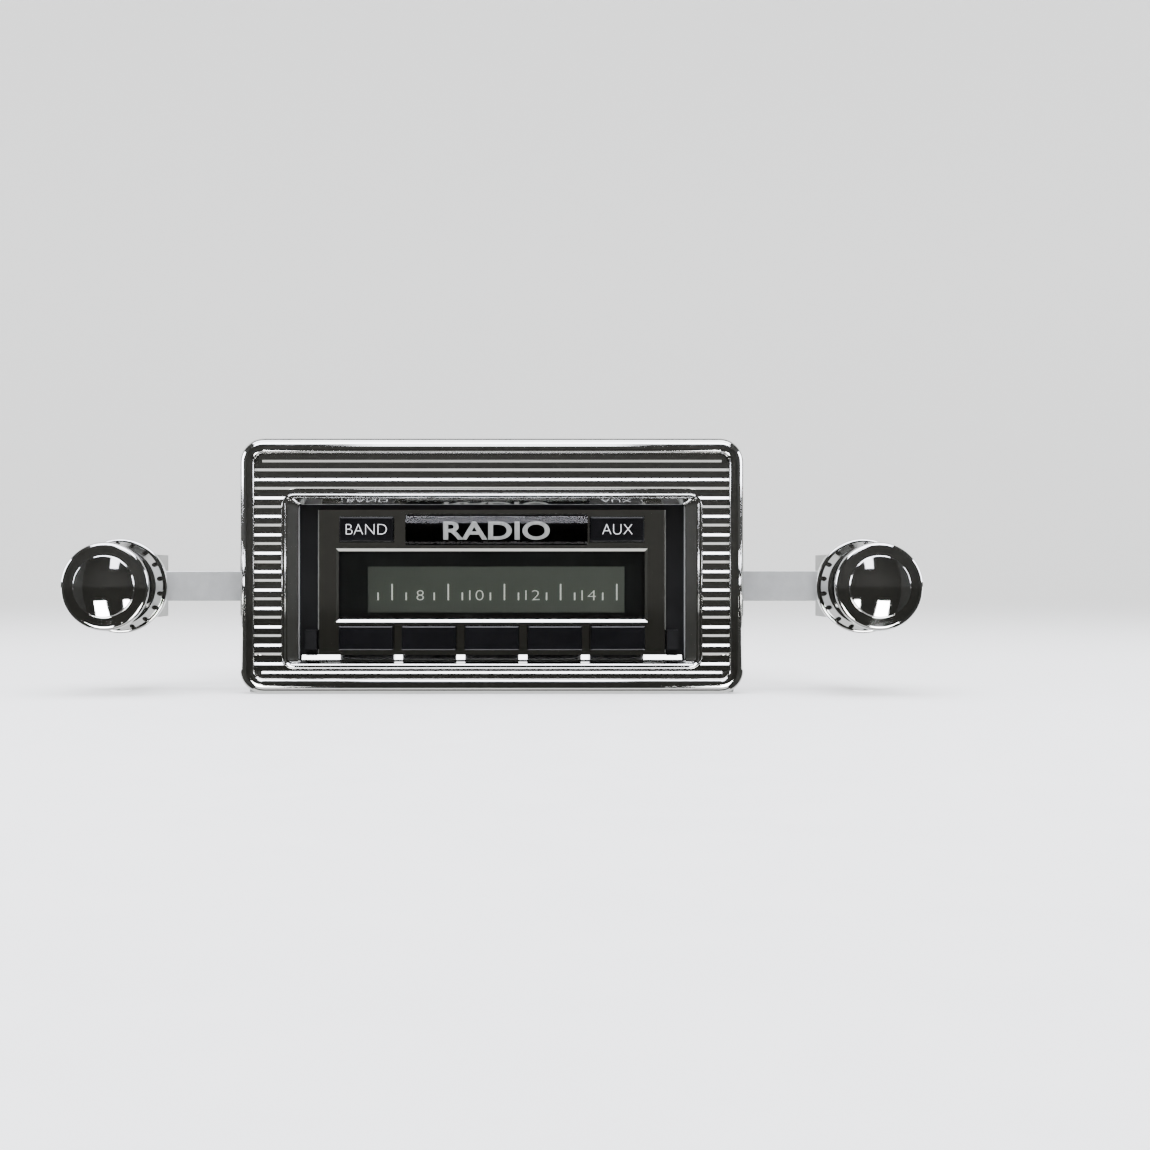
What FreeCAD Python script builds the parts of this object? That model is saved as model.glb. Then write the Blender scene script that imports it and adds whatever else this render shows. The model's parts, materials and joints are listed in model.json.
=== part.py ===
"""Classic dash car radio with a ribbed chrome bezel and two pairs of concentric knobs.

Axes: X to the viewer's right, Y into the dash, Z up. Millimetres.
Origin: the middle of the bezel's outline, on the plane where its back meets the dash.
"""
import math
import os

import FreeCAD
import Part
import Sketcher

SIZES = {
    # bezel
    "bezel_width": 150.0,
    "bezel_height": 76.0,
    "bezel_corner": 7.2,
    "rim_height": 6.0,
    "rim_width": 4.6,
    "rim_outer_round": 3.1,
    "rim_inner_round": 1.2,
    "field_height": 2.4,
    "rib_count": 12,
    "rib_face": 1.9,
    "rib_rise": 0.42,
    "rib_bevel": 0.7,
    "rib_top_margin": 7.1,
    "rib_bottom_margin": 6.6,
    "lip_width": 1.5,
    "lip_height": 3.8,
    "lip_round": 0.9,
    "lip_bevel": 0.35,
    "opening_width": 122.7,
    "opening_top": 20.2,
    "opening_bottom": -29.2,
    "opening_corner": 2.6,
    "throat_straight": 1.4,
    "throat_width": 115.8,
    "throat_top": 18.5,
    "throat_bottom": -28.6,
    # grip on the dash and the fixings through it
    "dash_grip": 2.5,
    "stud_inset_x": 8.5,
    "stud_inset_z": 7.0,
    "stud_root_depth": 1.6,
    "stud_root_radius": 2.7,
    "stud_shoulder_radius": 2.4,
    "stud_thread_radius": 2.0,
    "stud_length": 9.5,
    "stud_nut_height": 3.2,
    "stud_nut_radius": 4.04,
    "bolt_clearance": 0.1,
    # nose
    "nose_width": 104.6,
    "nose_top": 16.9,
    "nose_bottom": -26.7,
    "nose_edge": 0.35,
    "ledge_half_width": 57.0,
    "ledge_lip": 0.3,
    "ear_width": 3.4,
    "ear_gap": 0.3,
    "ear_top": -19.2,
    "ear_bottom": -25.1,
    "ear_depth": 1.2,
    "nose_face_depth": 2.0,
    "nose_plate": 2.0,
    "nose_front_gap": 1.0,
    "throat_gap": 0.2,
    "shell_wall": 3.5,
    "shell_flange": 2.0,
    "shell_depth": 6.8,
    # window and display
    "window_width": 91.9,
    "window_height": 20.5,
    "window_middle": -5.8,
    "window_bevel": 0.8,
    "window_bevel_depth": 0.5,
    "window_frame": 0.5,
    "window_frame_rise": 0.8,
    "window_rebate": 0.6,
    "lens_thickness": 1.0,
    "lens_fit": 0.05,
    "mask_thickness": 0.3,
    "mask_margin": 0.2,
    "lcd_width": 77.4,
    "lcd_height": 13.9,
    "lcd_middle": -7.1,
    "lcd_shift": 1.3,
    "lcd_border": 2.1,
    "lcd_thickness": 2.5,
    "board_thickness": 1.6,
    # buttons
    "button_width": 16.2,
    "button_pitch": 18.8,
    "preset_height": 7.2,
    "preset_middle": -21.5,
    "preset_rise": 5.0,
    "upper_button_height": 7.5,
    "upper_button_middle": 11.0,
    "upper_button_rise": 2.2,
    "button_fit": 0.15,
    "button_edge": 0.55,
    "button_flange": 0.6,
    "button_flange_depth": 1.2,
    "button_stem_radius": 1.6,
    "button_travel": 1.0,
    "button_overtravel": 0.3,
    "switch_side": 6.0,
    "switch_dome_radius": 1.7,
    "switch_dome_height": 0.6,
    # badge
    "badge_width": 54.6,
    "badge_height": 8.9,
    "badge_shift": 1.4,
    "badge_middle": 11.15,
    "badge_plate_thickness": 0.6,
    "badge_edge": 0.9,
    "badge_crown": 1.3,
    "badge_lip": 0.9,
    "badge_ledge_rise": 0.6,
    # chassis
    "sheet": 1.2,
    "front_plate_thickness": 1.5,
    "chassis_inset": 2.0,
    "chassis_top_drop": 14.0,
    "chassis_depth": 108.0,
    "chassis_flange": 7.0,
    "connector_width": 40.0,
    "connector_height": 5.0,
    "connector_reach": 4.0,
    "tuner_start": 8.0,
    "tuner_width": 40.0,
    "tuner_inset": 12.0,
    "tuner_length": 32.0,
    "tuner_height": 14.0,
    "capacitor_start": -48.0,
    "capacitor_pitch": 19.0,
    "capacitor_inset": 30.0,
    "capacitor_height": 28.0,
    "capacitor_radius": 8.0,
    "amplifier_start": -44.0,
    "amplifier_width": 28.0,
    "amplifier_height": 20.0,
    "amplifier_reach": 1.0,
    "spacer_radius": 3.0,
    "spacer_side_inset": 6.0,
    "spacer_end_inset": 8.0,
    "spacer_thread_gap": 0.4,
    "cover_front_inset": 10.0,
    "cover_rear_inset": 12.0,
    "vent_width": 3.0,
    "vent_length": 26.0,
    "vent_pitch": 8.0,
    "vent_gap": 16.0,
    "recess_width": 0.7,
    "recess_span": 2.6,
    "recess_depth": 0.8,
    "side_hole_radius": 2.0,
    "side_hole_rear": 22.0,
    "side_hole_spacing": 30.0,
    "sink_start": -60.0,
    "sink_drop": 2.0,
    "rear_stud_x": 8.0,
    "rear_stud_rise": 22.0,
    "antenna_x": 59.0,
    "antenna_rise": 34.0,
    "antenna_floor": 1.5,
    "antenna_neck_wall": 0.8,
    "jack_start": 28.0,
    "jack_pitch": 14.0,
    "jack_rise": 36.0,
    "jack_hole": 1.7,
    "jack_neck_step": 0.4,
    "jack_flange_rim": 1.6,
    "jack_flange_height": 1.0,
    "plug_start": 20.0,
    "plug_inset": 10.0,
    "plug_floor": 4.0,
    "main_board_height": 8.0,
    "main_board_side_gap": 8.0,
    "main_board_front_gap": 12.0,
    "main_board_rear_gap": 4.8,
    # small screws
    "screw_radius": 1.5,
    "screw_head_radius": 2.7,
    "screw_head_height": 1.6,
    # controls
    "control_spacing": 222.0,
    "control_height": -6.0,
    "shoulder_radius": 5.2,
    "collar_radius": 5.8,
    "bushing_radius": 4.76,
    "bushing_length": 5.5,
    "sleeve_radius": 3.0,
    "spindle_radius": 2.0,
    "running_fit": 0.05,
    "escutcheon_radius": 14.1,
    "escutcheon_thickness": 1.5,
    "control_nut_radius": 7.3,
    "control_nut_height": 2.6,
    "ring_radius": 13.2,
    "ring_gap": 0.6,
    "ring_band": 5.2,
    "ring_slope": 3.0,
    "ring_slope_radius": 11.7,
    "ring_step_radius": 11.3,
    "ring_step": 1.6,
    "ring_hub": 3.0,
    "ring_notches": 18,
    "notch_radius": 0.72,
    "notch_inset": 0.45,
    "knob_gap": 0.6,
    "knob_radius": 12.75,
    "knob_rear_radius": 10.6,
    "knob_length": 18.0,
    "knob_rim": 1.4,
    "knob_face_rise": 0.35,
    "knob_dome_radius": 8.6,
    "knob_dome_sag": 1.7,
    "knob_dome_fillet": 0.5,
    "knob_dome_step": 0.8,
    "spindle_reach": 11.0,
    "control_can": 19.0,
    "control_can_depth": 22.0,
    "bracket_thickness": 2.0,
    "bracket_height": 9.0,
    "bracket_end_radius": 13.4,
    "bracket_leg": 34.0,
    "lead_radius": 2.2,
    "lead_bend": 16.0,
    "lead_straight": 8.0,
    # back
    "sink_width": 52.0,
    "sink_height": 46.0,
    "sink_base": 3.0,
    "sink_fin": 1.6,
    "sink_fin_depth": 12.0,
    "sink_fins": 8,
    "rear_stud_radius": 3.0,
    "rear_stud_length": 15.0,
    "antenna_bore": 4.7,
    "antenna_wall": 2.3,
    "antenna_length": 12.0,
    "jack_radius": 4.1,
    "jack_length": 8.0,
    "plug_width": 30.0,
    "plug_height": 18.2,
    "plug_reach": 7.0,
    "plug_wall": 2.0,
}

doc = FreeCAD.newDocument("car_radio")
sheet = doc.addObject("Spreadsheet::Sheet", "Sizes")
for row, (alias, number) in enumerate(SIZES.items(), start=1):
    sheet.set("A%d" % row, alias)
    sheet.set("B%d" % row, str(number))
    sheet.setAlias("B%d" % row, alias)
doc.recompute()


class Dim:
    """A length tied to the sheet: its formula as text beside its present value."""

    def __init__(self, text, value):
        self.text = text
        self.value = value

    def __add__(self, other):
        other = dim(other)
        return Dim("(%s + %s)" % (self.text, other.text), self.value + other.value)

    def __radd__(self, other):
        return dim(other) + self

    def __sub__(self, other):
        other = dim(other)
        return Dim("(%s - %s)" % (self.text, other.text), self.value - other.value)

    def __rsub__(self, other):
        return dim(other) - self

    def __mul__(self, other):
        other = dim(other)
        return Dim("(%s * %s)" % (self.text, other.text), self.value * other.value)

    def __rmul__(self, other):
        return dim(other) * self

    def __truediv__(self, other):
        other = dim(other)
        return Dim("(%s / %s)" % (self.text, other.text), self.value / other.value)

    def __neg__(self):
        return Dim("(0 - %s)" % self.text, -self.value)


def dim(value):
    """A plain number or a Dim, as a Dim."""
    if isinstance(value, Dim):
        return value
    return Dim("(%r)" % float(value), float(value))


class Sizes:
    """Every cell of the sheet as a Dim, by its alias."""

    def __getattr__(self, alias):
        return Dim("Sizes.%s" % alias, float(sheet.get(alias)))


z = Sizes()
ALONG_Y = FreeCAD.Rotation(FreeCAD.Vector(1, 0, 0), -90)
ALONG_X = FreeCAD.Rotation(FreeCAD.Vector(0, 1, 0), 90)
ALONG_Z = FreeCAD.Rotation()
TINY = 1e-6
VENT_COUNT = 9
CAPACITOR_COUNT = 3


# ---- helpers for solids ---------------------------------------------------------------------

def bind(item, prop, value):
    """Ties one property of an object to the sheet."""
    item.setExpression(prop, dim(value).text)


def place(item, x, y, up):
    """Ties an object's position to the sheet."""
    bind(item, "Placement.Base.x", x)
    bind(item, "Placement.Base.y", y)
    bind(item, "Placement.Base.z", up)


def box(label, x0, x1, y0, y1, z0, z1):
    """A block between two corners."""
    item = doc.addObject("Part::Box", label)
    bind(item, "Length", dim(x1) - x0)
    bind(item, "Width", dim(y1) - y0)
    bind(item, "Height", dim(z1) - z0)
    place(item, x0, y0, z0)
    return item


def rod(label, x, y, up, length, radius, turn=ALONG_Y):
    """A round bar that starts at a point and runs along an axis."""
    item = doc.addObject("Part::Cylinder", label)
    item.Placement = FreeCAD.Placement(FreeCAD.Vector(), turn)
    bind(item, "Radius", radius)
    bind(item, "Height", length)
    place(item, x, y, up)
    return item


def hexagon(label, x, y, up, length, radius):
    """A six-sided bar along Y."""
    item = doc.addObject("Part::Prism", label)
    item.Polygon = 6
    item.Placement = FreeCAD.Placement(FreeCAD.Vector(), ALONG_Y)
    bind(item, "Circumradius", radius)
    bind(item, "Height", length)
    place(item, x, y, up)
    return item


def wedge(label, y0, front, y1, back):
    """A block whose two ends, at y0 and y1, are different rectangles (x0, x1, z0, z1)."""
    item = doc.addObject("Part::Wedge", label)
    for prop, value in zip(("Xmin", "Xmax", "Zmin", "Zmax"), front):
        bind(item, prop, value)
    for prop, value in zip(("X2min", "X2max", "Z2min", "Z2max"), back):
        bind(item, prop, value)
    bind(item, "Ymin", y0)
    bind(item, "Ymax", y1)
    return item


def fuse(label, *pieces):
    """Pieces joined in one solid."""
    item = doc.addObject("Part::MultiFuse", label)
    item.Shapes = list(pieces)
    item.Refine = True
    return item


def group(label, *pieces):
    """Separate like pieces under one name."""
    item = doc.addObject("Part::Compound", label)
    item.Links = list(pieces)
    return item


def cut(label, base, *tools):
    """A piece with others taken from it."""
    item = doc.addObject("Part::Cut", label)
    item.Base = base
    if len(tools) == 1:
        item.Tool = tools[0]
    else:
        item.Tool = fuse(label + "_tools", *tools)
    return item


# ---- helpers for bodies ---------------------------------------------------------------------

def new_body(label):
    """An empty body."""
    return doc.addObject("PartDesign::Body", label)


def origin_plane(body, role):
    """One of a body's own origin planes."""
    return [item for item in body.Origin.OriginFeatures if item.Role == role][0]


def new_sketch(body, name, role, offset=0):
    """A sketch on an origin plane, moved along the plane's normal."""
    sketch = body.newObject("Sketcher::SketchObject", body.Name + "_" + name)
    sketch.AttachmentSupport = (origin_plane(body, role), [""])
    sketch.MapMode = "FlatFace"
    bind(sketch, "AttachmentOffset.Base.z", offset)
    return sketch


def hold(sketch, kind, geometry, point, value):
    """One coordinate of a sketch point, tied to the sheet."""
    number = sketch.addConstraint(Sketcher.Constraint(kind, geometry, point, value.value))
    sketch.setExpression("Constraints[%d]" % number, value.text)


def loop(sketch, corners):
    """A closed line through (x, y) corners; a third value is the radius of an arc to the next."""
    corners = [tuple(dim(value) for value in corner) for corner in corners]
    vectors = [FreeCAD.Vector(corner[0].value, corner[1].value, 0) for corner in corners]
    pieces = []
    for index, corner in enumerate(corners):
        start = vectors[index]
        end = vectors[(index + 1) % len(corners)]
        if len(corner) == 2:
            geometry = sketch.addGeometry(Part.LineSegment(start, end))
            pieces.append((geometry, 1, 2))
            continue
        radius = abs(corner[2].value)
        left = corner[2].value > 0
        chord = end - start
        side = FreeCAD.Vector(-chord.y, chord.x, 0)
        side.normalize()
        rise = math.sqrt(max(radius * radius - chord.Length * chord.Length / 4, 0))
        centre = (start + end) * 0.5 + side * (rise if left else -rise)
        first, last = (start, end) if left else (end, start)
        angles = [math.atan2(point.y - centre.y, point.x - centre.x) for point in (first, last)]
        circle = Part.Circle(centre, FreeCAD.Vector(0, 0, 1), radius)
        geometry = sketch.addGeometry(Part.ArcOfCircle(circle, angles[0], angles[1]))
        pieces.append((geometry, 1, 2) if left else (geometry, 2, 1))
        number = sketch.addConstraint(Sketcher.Constraint("Radius", geometry, radius))
        bound = corner[2] if left else -corner[2]
        sketch.setExpression("Constraints[%d]" % number, bound.text)
    for index, (geometry, start, end) in enumerate(pieces):
        following = pieces[(index + 1) % len(pieces)]
        sketch.addConstraint(
            Sketcher.Constraint("Coincident", geometry, end, following[0], following[1]))
        hold(sketch, "DistanceX", geometry, start, corners[index][0])
        hold(sketch, "DistanceY", geometry, start, corners[index][1])


def rectangle(sketch, x0, x1, y0, y1, radius=None):
    """A rectangle, with round corners if a radius is given."""
    x0, x1, y0, y1 = dim(x0), dim(x1), dim(y0), dim(y1)
    if radius is None:
        loop(sketch, [(x0, y0), (x1, y0), (x1, y1), (x0, y1)])
        return
    loop(sketch, [
        (x0 + radius, y0), (x1 - radius, y0, radius),
        (x1, y0 + radius), (x1, y1 - radius, radius),
        (x1 - radius, y1), (x0 + radius, y1, radius),
        (x0, y1 - radius), (x0, y0 + radius, radius),
    ])


def circle(sketch, x, y, radius):
    """A circle about a point."""
    x, y, radius = dim(x), dim(y), dim(radius)
    centre = FreeCAD.Vector(x.value, y.value, 0)
    geometry = sketch.addGeometry(Part.Circle(centre, FreeCAD.Vector(0, 0, 1), radius.value))
    hold(sketch, "DistanceX", geometry, 3, x)
    hold(sketch, "DistanceY", geometry, 3, y)
    number = sketch.addConstraint(Sketcher.Constraint("Radius", geometry, radius.value))
    sketch.setExpression("Constraints[%d]" % number, radius.text)


def pad(body, sketch, length, back=False):
    """Material from a sketch along its normal, or the other way."""
    feature = body.newObject("PartDesign::Pad", sketch.Name + "_pad")
    feature.Profile = sketch
    feature.Reversed = back
    bind(feature, "Length", length)
    return feature


def pocket(body, sketch, length, forward=False):
    """Material taken behind a sketch, or in front of it."""
    feature = body.newObject("PartDesign::Pocket", sketch.Name + "_pocket")
    feature.Profile = sketch
    feature.Reversed = forward
    bind(feature, "Length", length)
    return feature


def turned(label, corners, x, up):
    """A body turned about an axis along Y; corners are (radius, y)."""
    body = new_body(label)
    sketch = new_sketch(body, "profile", "XY_Plane")
    loop(sketch, corners)
    feature = body.newObject("PartDesign::Revolution", label + "_turn")
    feature.Profile = sketch
    feature.ReferenceAxis = (sketch, ["V_Axis"])
    feature.Angle = 360
    place(body, x, 0, up)
    return body


def edges_where(feature, test):
    """Names of a feature's edges that pass a test."""
    return ["Edge%d" % (index + 1) for index, edge in enumerate(feature.Shape.Edges) if test(edge)]


def soften(body, kind, feature, radius, test):
    """A fillet or chamfer on the edges that pass a test."""
    doc.recompute()
    finish = body.newObject("PartDesign::" + kind, feature.Name + "_" + kind)
    finish.Base = (feature, edges_where(feature, test))
    bind(finish, "Radius" if kind == "Fillet" else "Size", radius)
    return finish


def flat_in_y(edge, level):
    """True for an edge that lies on the plane y = level."""
    bounds = edge.BoundBox
    return abs(bounds.YMin - level) < 1e-4 and abs(bounds.YMax - level) < 1e-4


parts = {}


def keep(label, item):
    """Names a finished sub-part."""
    item.Label = label
    parts[label] = item
    return item


# ---- places shared by several pieces --------------------------------------------------------

half_bezel = z.bezel_width / 2
base_line = -(z.bezel_height / 2)
stud_x = half_bezel - z.stud_inset_x
stud_z = z.bezel_height / 2 - z.stud_inset_z
plate_front = z.dash_grip
plate_back = z.dash_grip + z.front_plate_thickness
half_chassis = half_bezel - z.chassis_inset
half_inside = half_chassis - z.sheet
chassis_top = z.bezel_height / 2 - z.chassis_top_drop
inside_top = chassis_top - z.sheet
inside_floor = base_line + z.sheet
chassis_back = plate_back + z.chassis_depth
nose_half = z.throat_width / 2 - z.throat_gap
skirt_top = z.throat_top - z.throat_gap
skirt_bottom = z.throat_bottom + z.throat_gap
nose_face = z.nose_face_depth
nose_back = nose_face + z.nose_plate
flange_back = plate_back + z.shell_flange
shell_back = nose_back + z.shell_depth
display_back = shell_back + z.board_thickness


# ---- bezel ----------------------------------------------------------------------------------

def make_bezel():
    """Rounded rim, sunk field with flat ribs, and a lipped opening with sloping walls."""
    body = new_body("bezel_body")
    outline = new_sketch(body, "outline", "XZ_Plane")
    rectangle(outline, -half_bezel, half_bezel, base_line, -base_line, z.bezel_corner)
    pad(body, outline, z.rim_height)
    field = new_sketch(body, "field", "XZ_Plane", z.rim_height)
    inner_corner = z.bezel_corner - z.rim_width
    inner_x = half_bezel - z.rim_width
    inner_z = z.bezel_height / 2 - z.rim_width
    rectangle(field, -inner_x, inner_x, -inner_z, inner_z, inner_corner)
    hollow = pocket(body, field, z.rim_height - z.field_height)
    rim_front = -z.rim_height.value

    def outer(edge):
        bounds = edge.BoundBox
        reach_x = max(abs(bounds.XMin), abs(bounds.XMax))
        reach_z = max(abs(bounds.ZMin), abs(bounds.ZMax))
        wide = reach_x > half_bezel.value - z.bezel_corner.value / 2
        tall = reach_z > z.bezel_height.value / 2 - z.bezel_corner.value / 2
        past_x = reach_x > half_bezel.value - 0.1
        past_z = reach_z > z.bezel_height.value / 2 - 0.1
        return flat_in_y(edge, rim_front) and (wide or tall) and (past_x or past_z)

    rounded = soften(body, "Fillet", hollow, z.rim_outer_round, outer)
    rounded = soften(
        body, "Fillet", rounded, z.rim_inner_round,
        lambda edge: flat_in_y(edge, rim_front)
        and max(abs(edge.BoundBox.XMin), abs(edge.BoundBox.XMax)) < inner_x.value + 0.01
        and max(abs(edge.BoundBox.ZMin), abs(edge.BoundBox.ZMax)) < inner_z.value + 0.01)
    rib = new_sketch(body, "rib", "YZ_Plane", -inner_x)
    rib_top = z.bezel_height / 2 - z.rib_top_margin
    rib_low = rib_top - z.rib_face
    crown = -(z.field_height + z.rib_rise)
    sunk = -(z.field_height - z.rib_rise)
    loop(rib, [
        (sunk, rib_low - z.rib_bevel), (-z.field_height, rib_low - z.rib_bevel),
        (crown, rib_low), (crown, rib_top),
        (-z.field_height, rib_top + z.rib_bevel), (sunk, rib_top + z.rib_bevel)])
    first = pad(body, rib, inner_x * 2)
    pattern = body.newObject("PartDesign::LinearPattern", "bezel_ribs")
    pattern.Originals = [first]
    pattern.Direction = (rib, ["V_Axis"])
    pattern.Reversed = True
    pattern.Mode = "Extent"
    margins = z.rib_top_margin + z.rib_bottom_margin + z.rib_face
    bind(pattern, "Length", z.bezel_height - margins)
    bind(pattern, "Occurrences", z.rib_count)
    body.Tip = pattern
    lip = new_sketch(body, "lip", "XZ_Plane", z.field_height)
    lip_half = z.opening_width / 2 + z.lip_width
    lip_low = z.opening_bottom - z.lip_width
    rectangle(lip, -lip_half, lip_half, lip_low, z.opening_top + z.lip_width,
              z.opening_corner + z.lip_width)
    ridge = pad(body, lip, z.lip_height - z.field_height)
    crest = -z.lip_height.value
    soften(body, "Fillet", ridge, z.lip_round, lambda edge: flat_in_y(edge, crest))
    return body


bezel_body = make_bezel()
opening_half = z.opening_width / 2
throat_half = z.throat_width / 2


def rounded_wedge(label, y0, front, y1, back, radius0, radius1):
    """A wedge whose four long edges are rounded, by one radius at each end."""
    block = wedge(label + "_block", y0, front, y1, back)
    doc.recompute()
    depth = abs(dim(y1).value - dim(y0).value)
    item = doc.addObject("Part::Fillet", label)
    item.Base = block
    item.Edges = [
        (index + 1, radius0.value, radius1.value)
        for index, edge in enumerate(block.Shape.Edges)
        if edge.BoundBox.YLength > depth / 2
    ]
    return item


opening_rounded = rounded_wedge(
    "bezel_opening",
    -z.lip_height, (-opening_half, opening_half, z.opening_bottom, z.opening_top),
    -z.throat_straight, (-throat_half, throat_half, z.throat_bottom, z.throat_top),
    z.opening_corner, z.opening_corner / 2)
throat = rounded_wedge(
    "bezel_throat",
    -z.throat_straight - TINY, (-throat_half, throat_half, z.throat_bottom, z.throat_top),
    1, (-throat_half, throat_half, z.throat_bottom, z.throat_top),
    z.opening_corner / 2, z.opening_corner / 2)
bevel_half = opening_half + z.lip_bevel
opening_bevel = rounded_wedge(
    "bezel_opening_bevel",
    -z.lip_height - TINY,
    (-bevel_half, bevel_half, z.opening_bottom - z.lip_bevel, z.opening_top + z.lip_bevel),
    -z.lip_height + z.lip_bevel,
    (-opening_half, opening_half, z.opening_bottom, z.opening_top),
    z.opening_corner, z.opening_corner)
stud_roots = [
    rod("bezel_stud_root_%d%d" % (sx + 1, sz + 1), stud_x * sx, -z.stud_root_depth, stud_z * sz,
        z.stud_root_depth, z.stud_root_radius)
    for sx in (-1, 1) for sz in (-1, 1)
]
keep("bezel", cut("bezel_piece", bezel_body, opening_rounded, opening_bevel, throat,
                  *stud_roots))

studs = []
nuts = []
for sx in (-1, 1):
    for sz in (-1, 1):
        tag = "%d%d" % (sx + 1, sz + 1)
        studs.append(turned("bezel_stud_%s" % tag, [
            (0, -z.stud_root_depth), (z.stud_root_radius, -z.stud_root_depth),
            (z.stud_root_radius, 0), (z.stud_shoulder_radius, 0),
            (z.stud_shoulder_radius, plate_front), (z.stud_thread_radius, plate_front),
            (z.stud_thread_radius, z.stud_length), (0, z.stud_length),
        ], stud_x * sx, stud_z * sz))
        nuts.append(cut(
            "bezel_nut_%s" % tag,
            hexagon("bezel_nut_hex_%s" % tag, stud_x * sx, plate_back, stud_z * sz,
                    z.stud_nut_height, z.stud_nut_radius),
            rod("bezel_nut_hole_%s" % tag, stud_x * sx, plate_back - 1, stud_z * sz,
                z.stud_nut_height + 2, z.stud_thread_radius)))
keep("bezel_studs", group("bezel_stud_set", *studs))
keep("bezel_stud_nuts", group("bezel_nut_set", *nuts))


# ---- front plate ----------------------------------------------------------------------------

flange_side = z.nose_width / 2 + 9.4
flange_top = skirt_top + 2.7
flange_bottom = skirt_bottom - 3.6
nose_screw_x = nose_half + 2.9
nose_screw_high = z.nose_top - 4.0
nose_screw_low = z.nose_bottom + 4.0
nose_screw_radius = z.screw_radius - 0.25


def make_front_plate():
    """Flat steel plate that clamps the dash against the bezel."""
    body = new_body("front_plate_body")
    sketch = new_sketch(body, "outline", "XZ_Plane", -plate_back)
    rectangle(sketch, -half_chassis, half_chassis, base_line, -base_line - 2, z.chassis_inset)
    rectangle(sketch, -throat_half, throat_half, z.throat_bottom, z.throat_top)
    for sx in (-1, 1):
        for sz in (-1, 1):
            circle(sketch, stud_x * sx, stud_z * sz, z.stud_thread_radius + z.bolt_clearance)
        circle(sketch, nose_screw_x * sx, nose_screw_high, nose_screw_radius)
        circle(sketch, nose_screw_x * sx, nose_screw_low, nose_screw_radius)
    pad(body, sketch, z.front_plate_thickness)
    return body


keep("front_plate", make_front_plate())


# ---- nose: plated frame with the button holes and the window ---------------------------------

nose_w = z.nose_width / 2
window_half = z.window_width / 2
window_low = z.window_middle - z.window_height / 2
window_high = z.window_middle + z.window_height / 2
frame_grow = z.window_bevel + z.window_frame
lens_front = nose_back - z.lens_thickness
frame_front = nose_face - z.window_frame_rise
badge_x0 = z.badge_shift - z.badge_width / 2
badge_x1 = z.badge_shift + z.badge_width / 2
badge_low = z.badge_middle - z.badge_height / 2
badge_high = z.badge_middle + z.badge_height / 2

button_places = [
    ("preset_button_%d" % (index + 1), z.button_pitch * (index - 2), z.preset_middle,
     z.preset_height, z.preset_rise)
    for index in range(5)
]
for label, side in (("band_button", -2), ("aux_button", 2)):
    button_places.append((label, z.button_pitch * side, z.upper_button_middle,
                          z.upper_button_height, z.upper_button_rise))

plate_edge = nose_face + z.nose_edge
nose_bevel = wedge(
    "nose_bevel",
    nose_face, (-(nose_w - z.nose_edge), nose_w - z.nose_edge, z.nose_bottom, z.nose_top),
    plate_edge, (-nose_w, nose_w, z.nose_bottom, z.nose_top))
nose_plate = box("nose_plate", -nose_w, nose_w, plate_edge, nose_back, z.nose_bottom, z.nose_top)
ledge_slope = wedge(
    "nose_ledge_slope",
    z.nose_front_gap,
    (-z.ledge_half_width, z.ledge_half_width, skirt_bottom, skirt_bottom + z.ledge_lip),
    nose_face,
    (-z.ledge_half_width, z.ledge_half_width, skirt_bottom, z.nose_bottom))
ledge_back = box("nose_ledge_back", -z.ledge_half_width, z.ledge_half_width,
                 nose_face, nose_back, skirt_bottom, z.nose_bottom)
window_frame = box("nose_window_frame", -(window_half + frame_grow), window_half + frame_grow,
                   frame_front, plate_edge,
                   window_low - frame_grow, window_high + frame_grow)
badge_ledge = wedge(
    "nose_badge_ledge",
    nose_face - z.badge_ledge_rise,
    (badge_x0, badge_x1, badge_low - z.badge_lip, badge_low - z.badge_lip / 2),
    nose_face, (badge_x0, badge_x1, badge_low - z.badge_lip, badge_low))
nose_solid = fuse("nose_solid", nose_bevel, nose_plate, ledge_slope, ledge_back,
                  window_frame, badge_ledge)
slope_back = frame_front + z.window_bevel_depth
window_slope = wedge(
    "nose_window_slope", frame_front,
    (-(window_half + z.window_bevel), window_half + z.window_bevel,
     window_low - z.window_bevel, window_high + z.window_bevel),
    slope_back, (-window_half, window_half, window_low, window_high))
window_throat = box("nose_window_throat", -window_half, window_half, slope_back - TINY,
                    lens_front + TINY, window_low, window_high)
rebate_half = window_half + z.window_rebate
rebate_low = window_low - z.window_rebate
rebate_high = window_high + z.window_rebate
window_rebate = box("nose_window_rebate", -rebate_half, rebate_half, lens_front, nose_back + 1,
                    rebate_low, rebate_high)
button_holes = [
    box("nose_hole_" + label,
        x - z.button_width / 2 - z.button_fit, x + z.button_width / 2 + z.button_fit,
        nose_face - 2, nose_back + 1,
        up - height / 2 - z.button_fit, up + height / 2 + z.button_fit)
    for label, x, up, height, rise in button_places
]
keep("nose_frame", cut("nose_frame_piece", nose_solid, window_slope, window_throat,
                       window_rebate, *button_holes))

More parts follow.
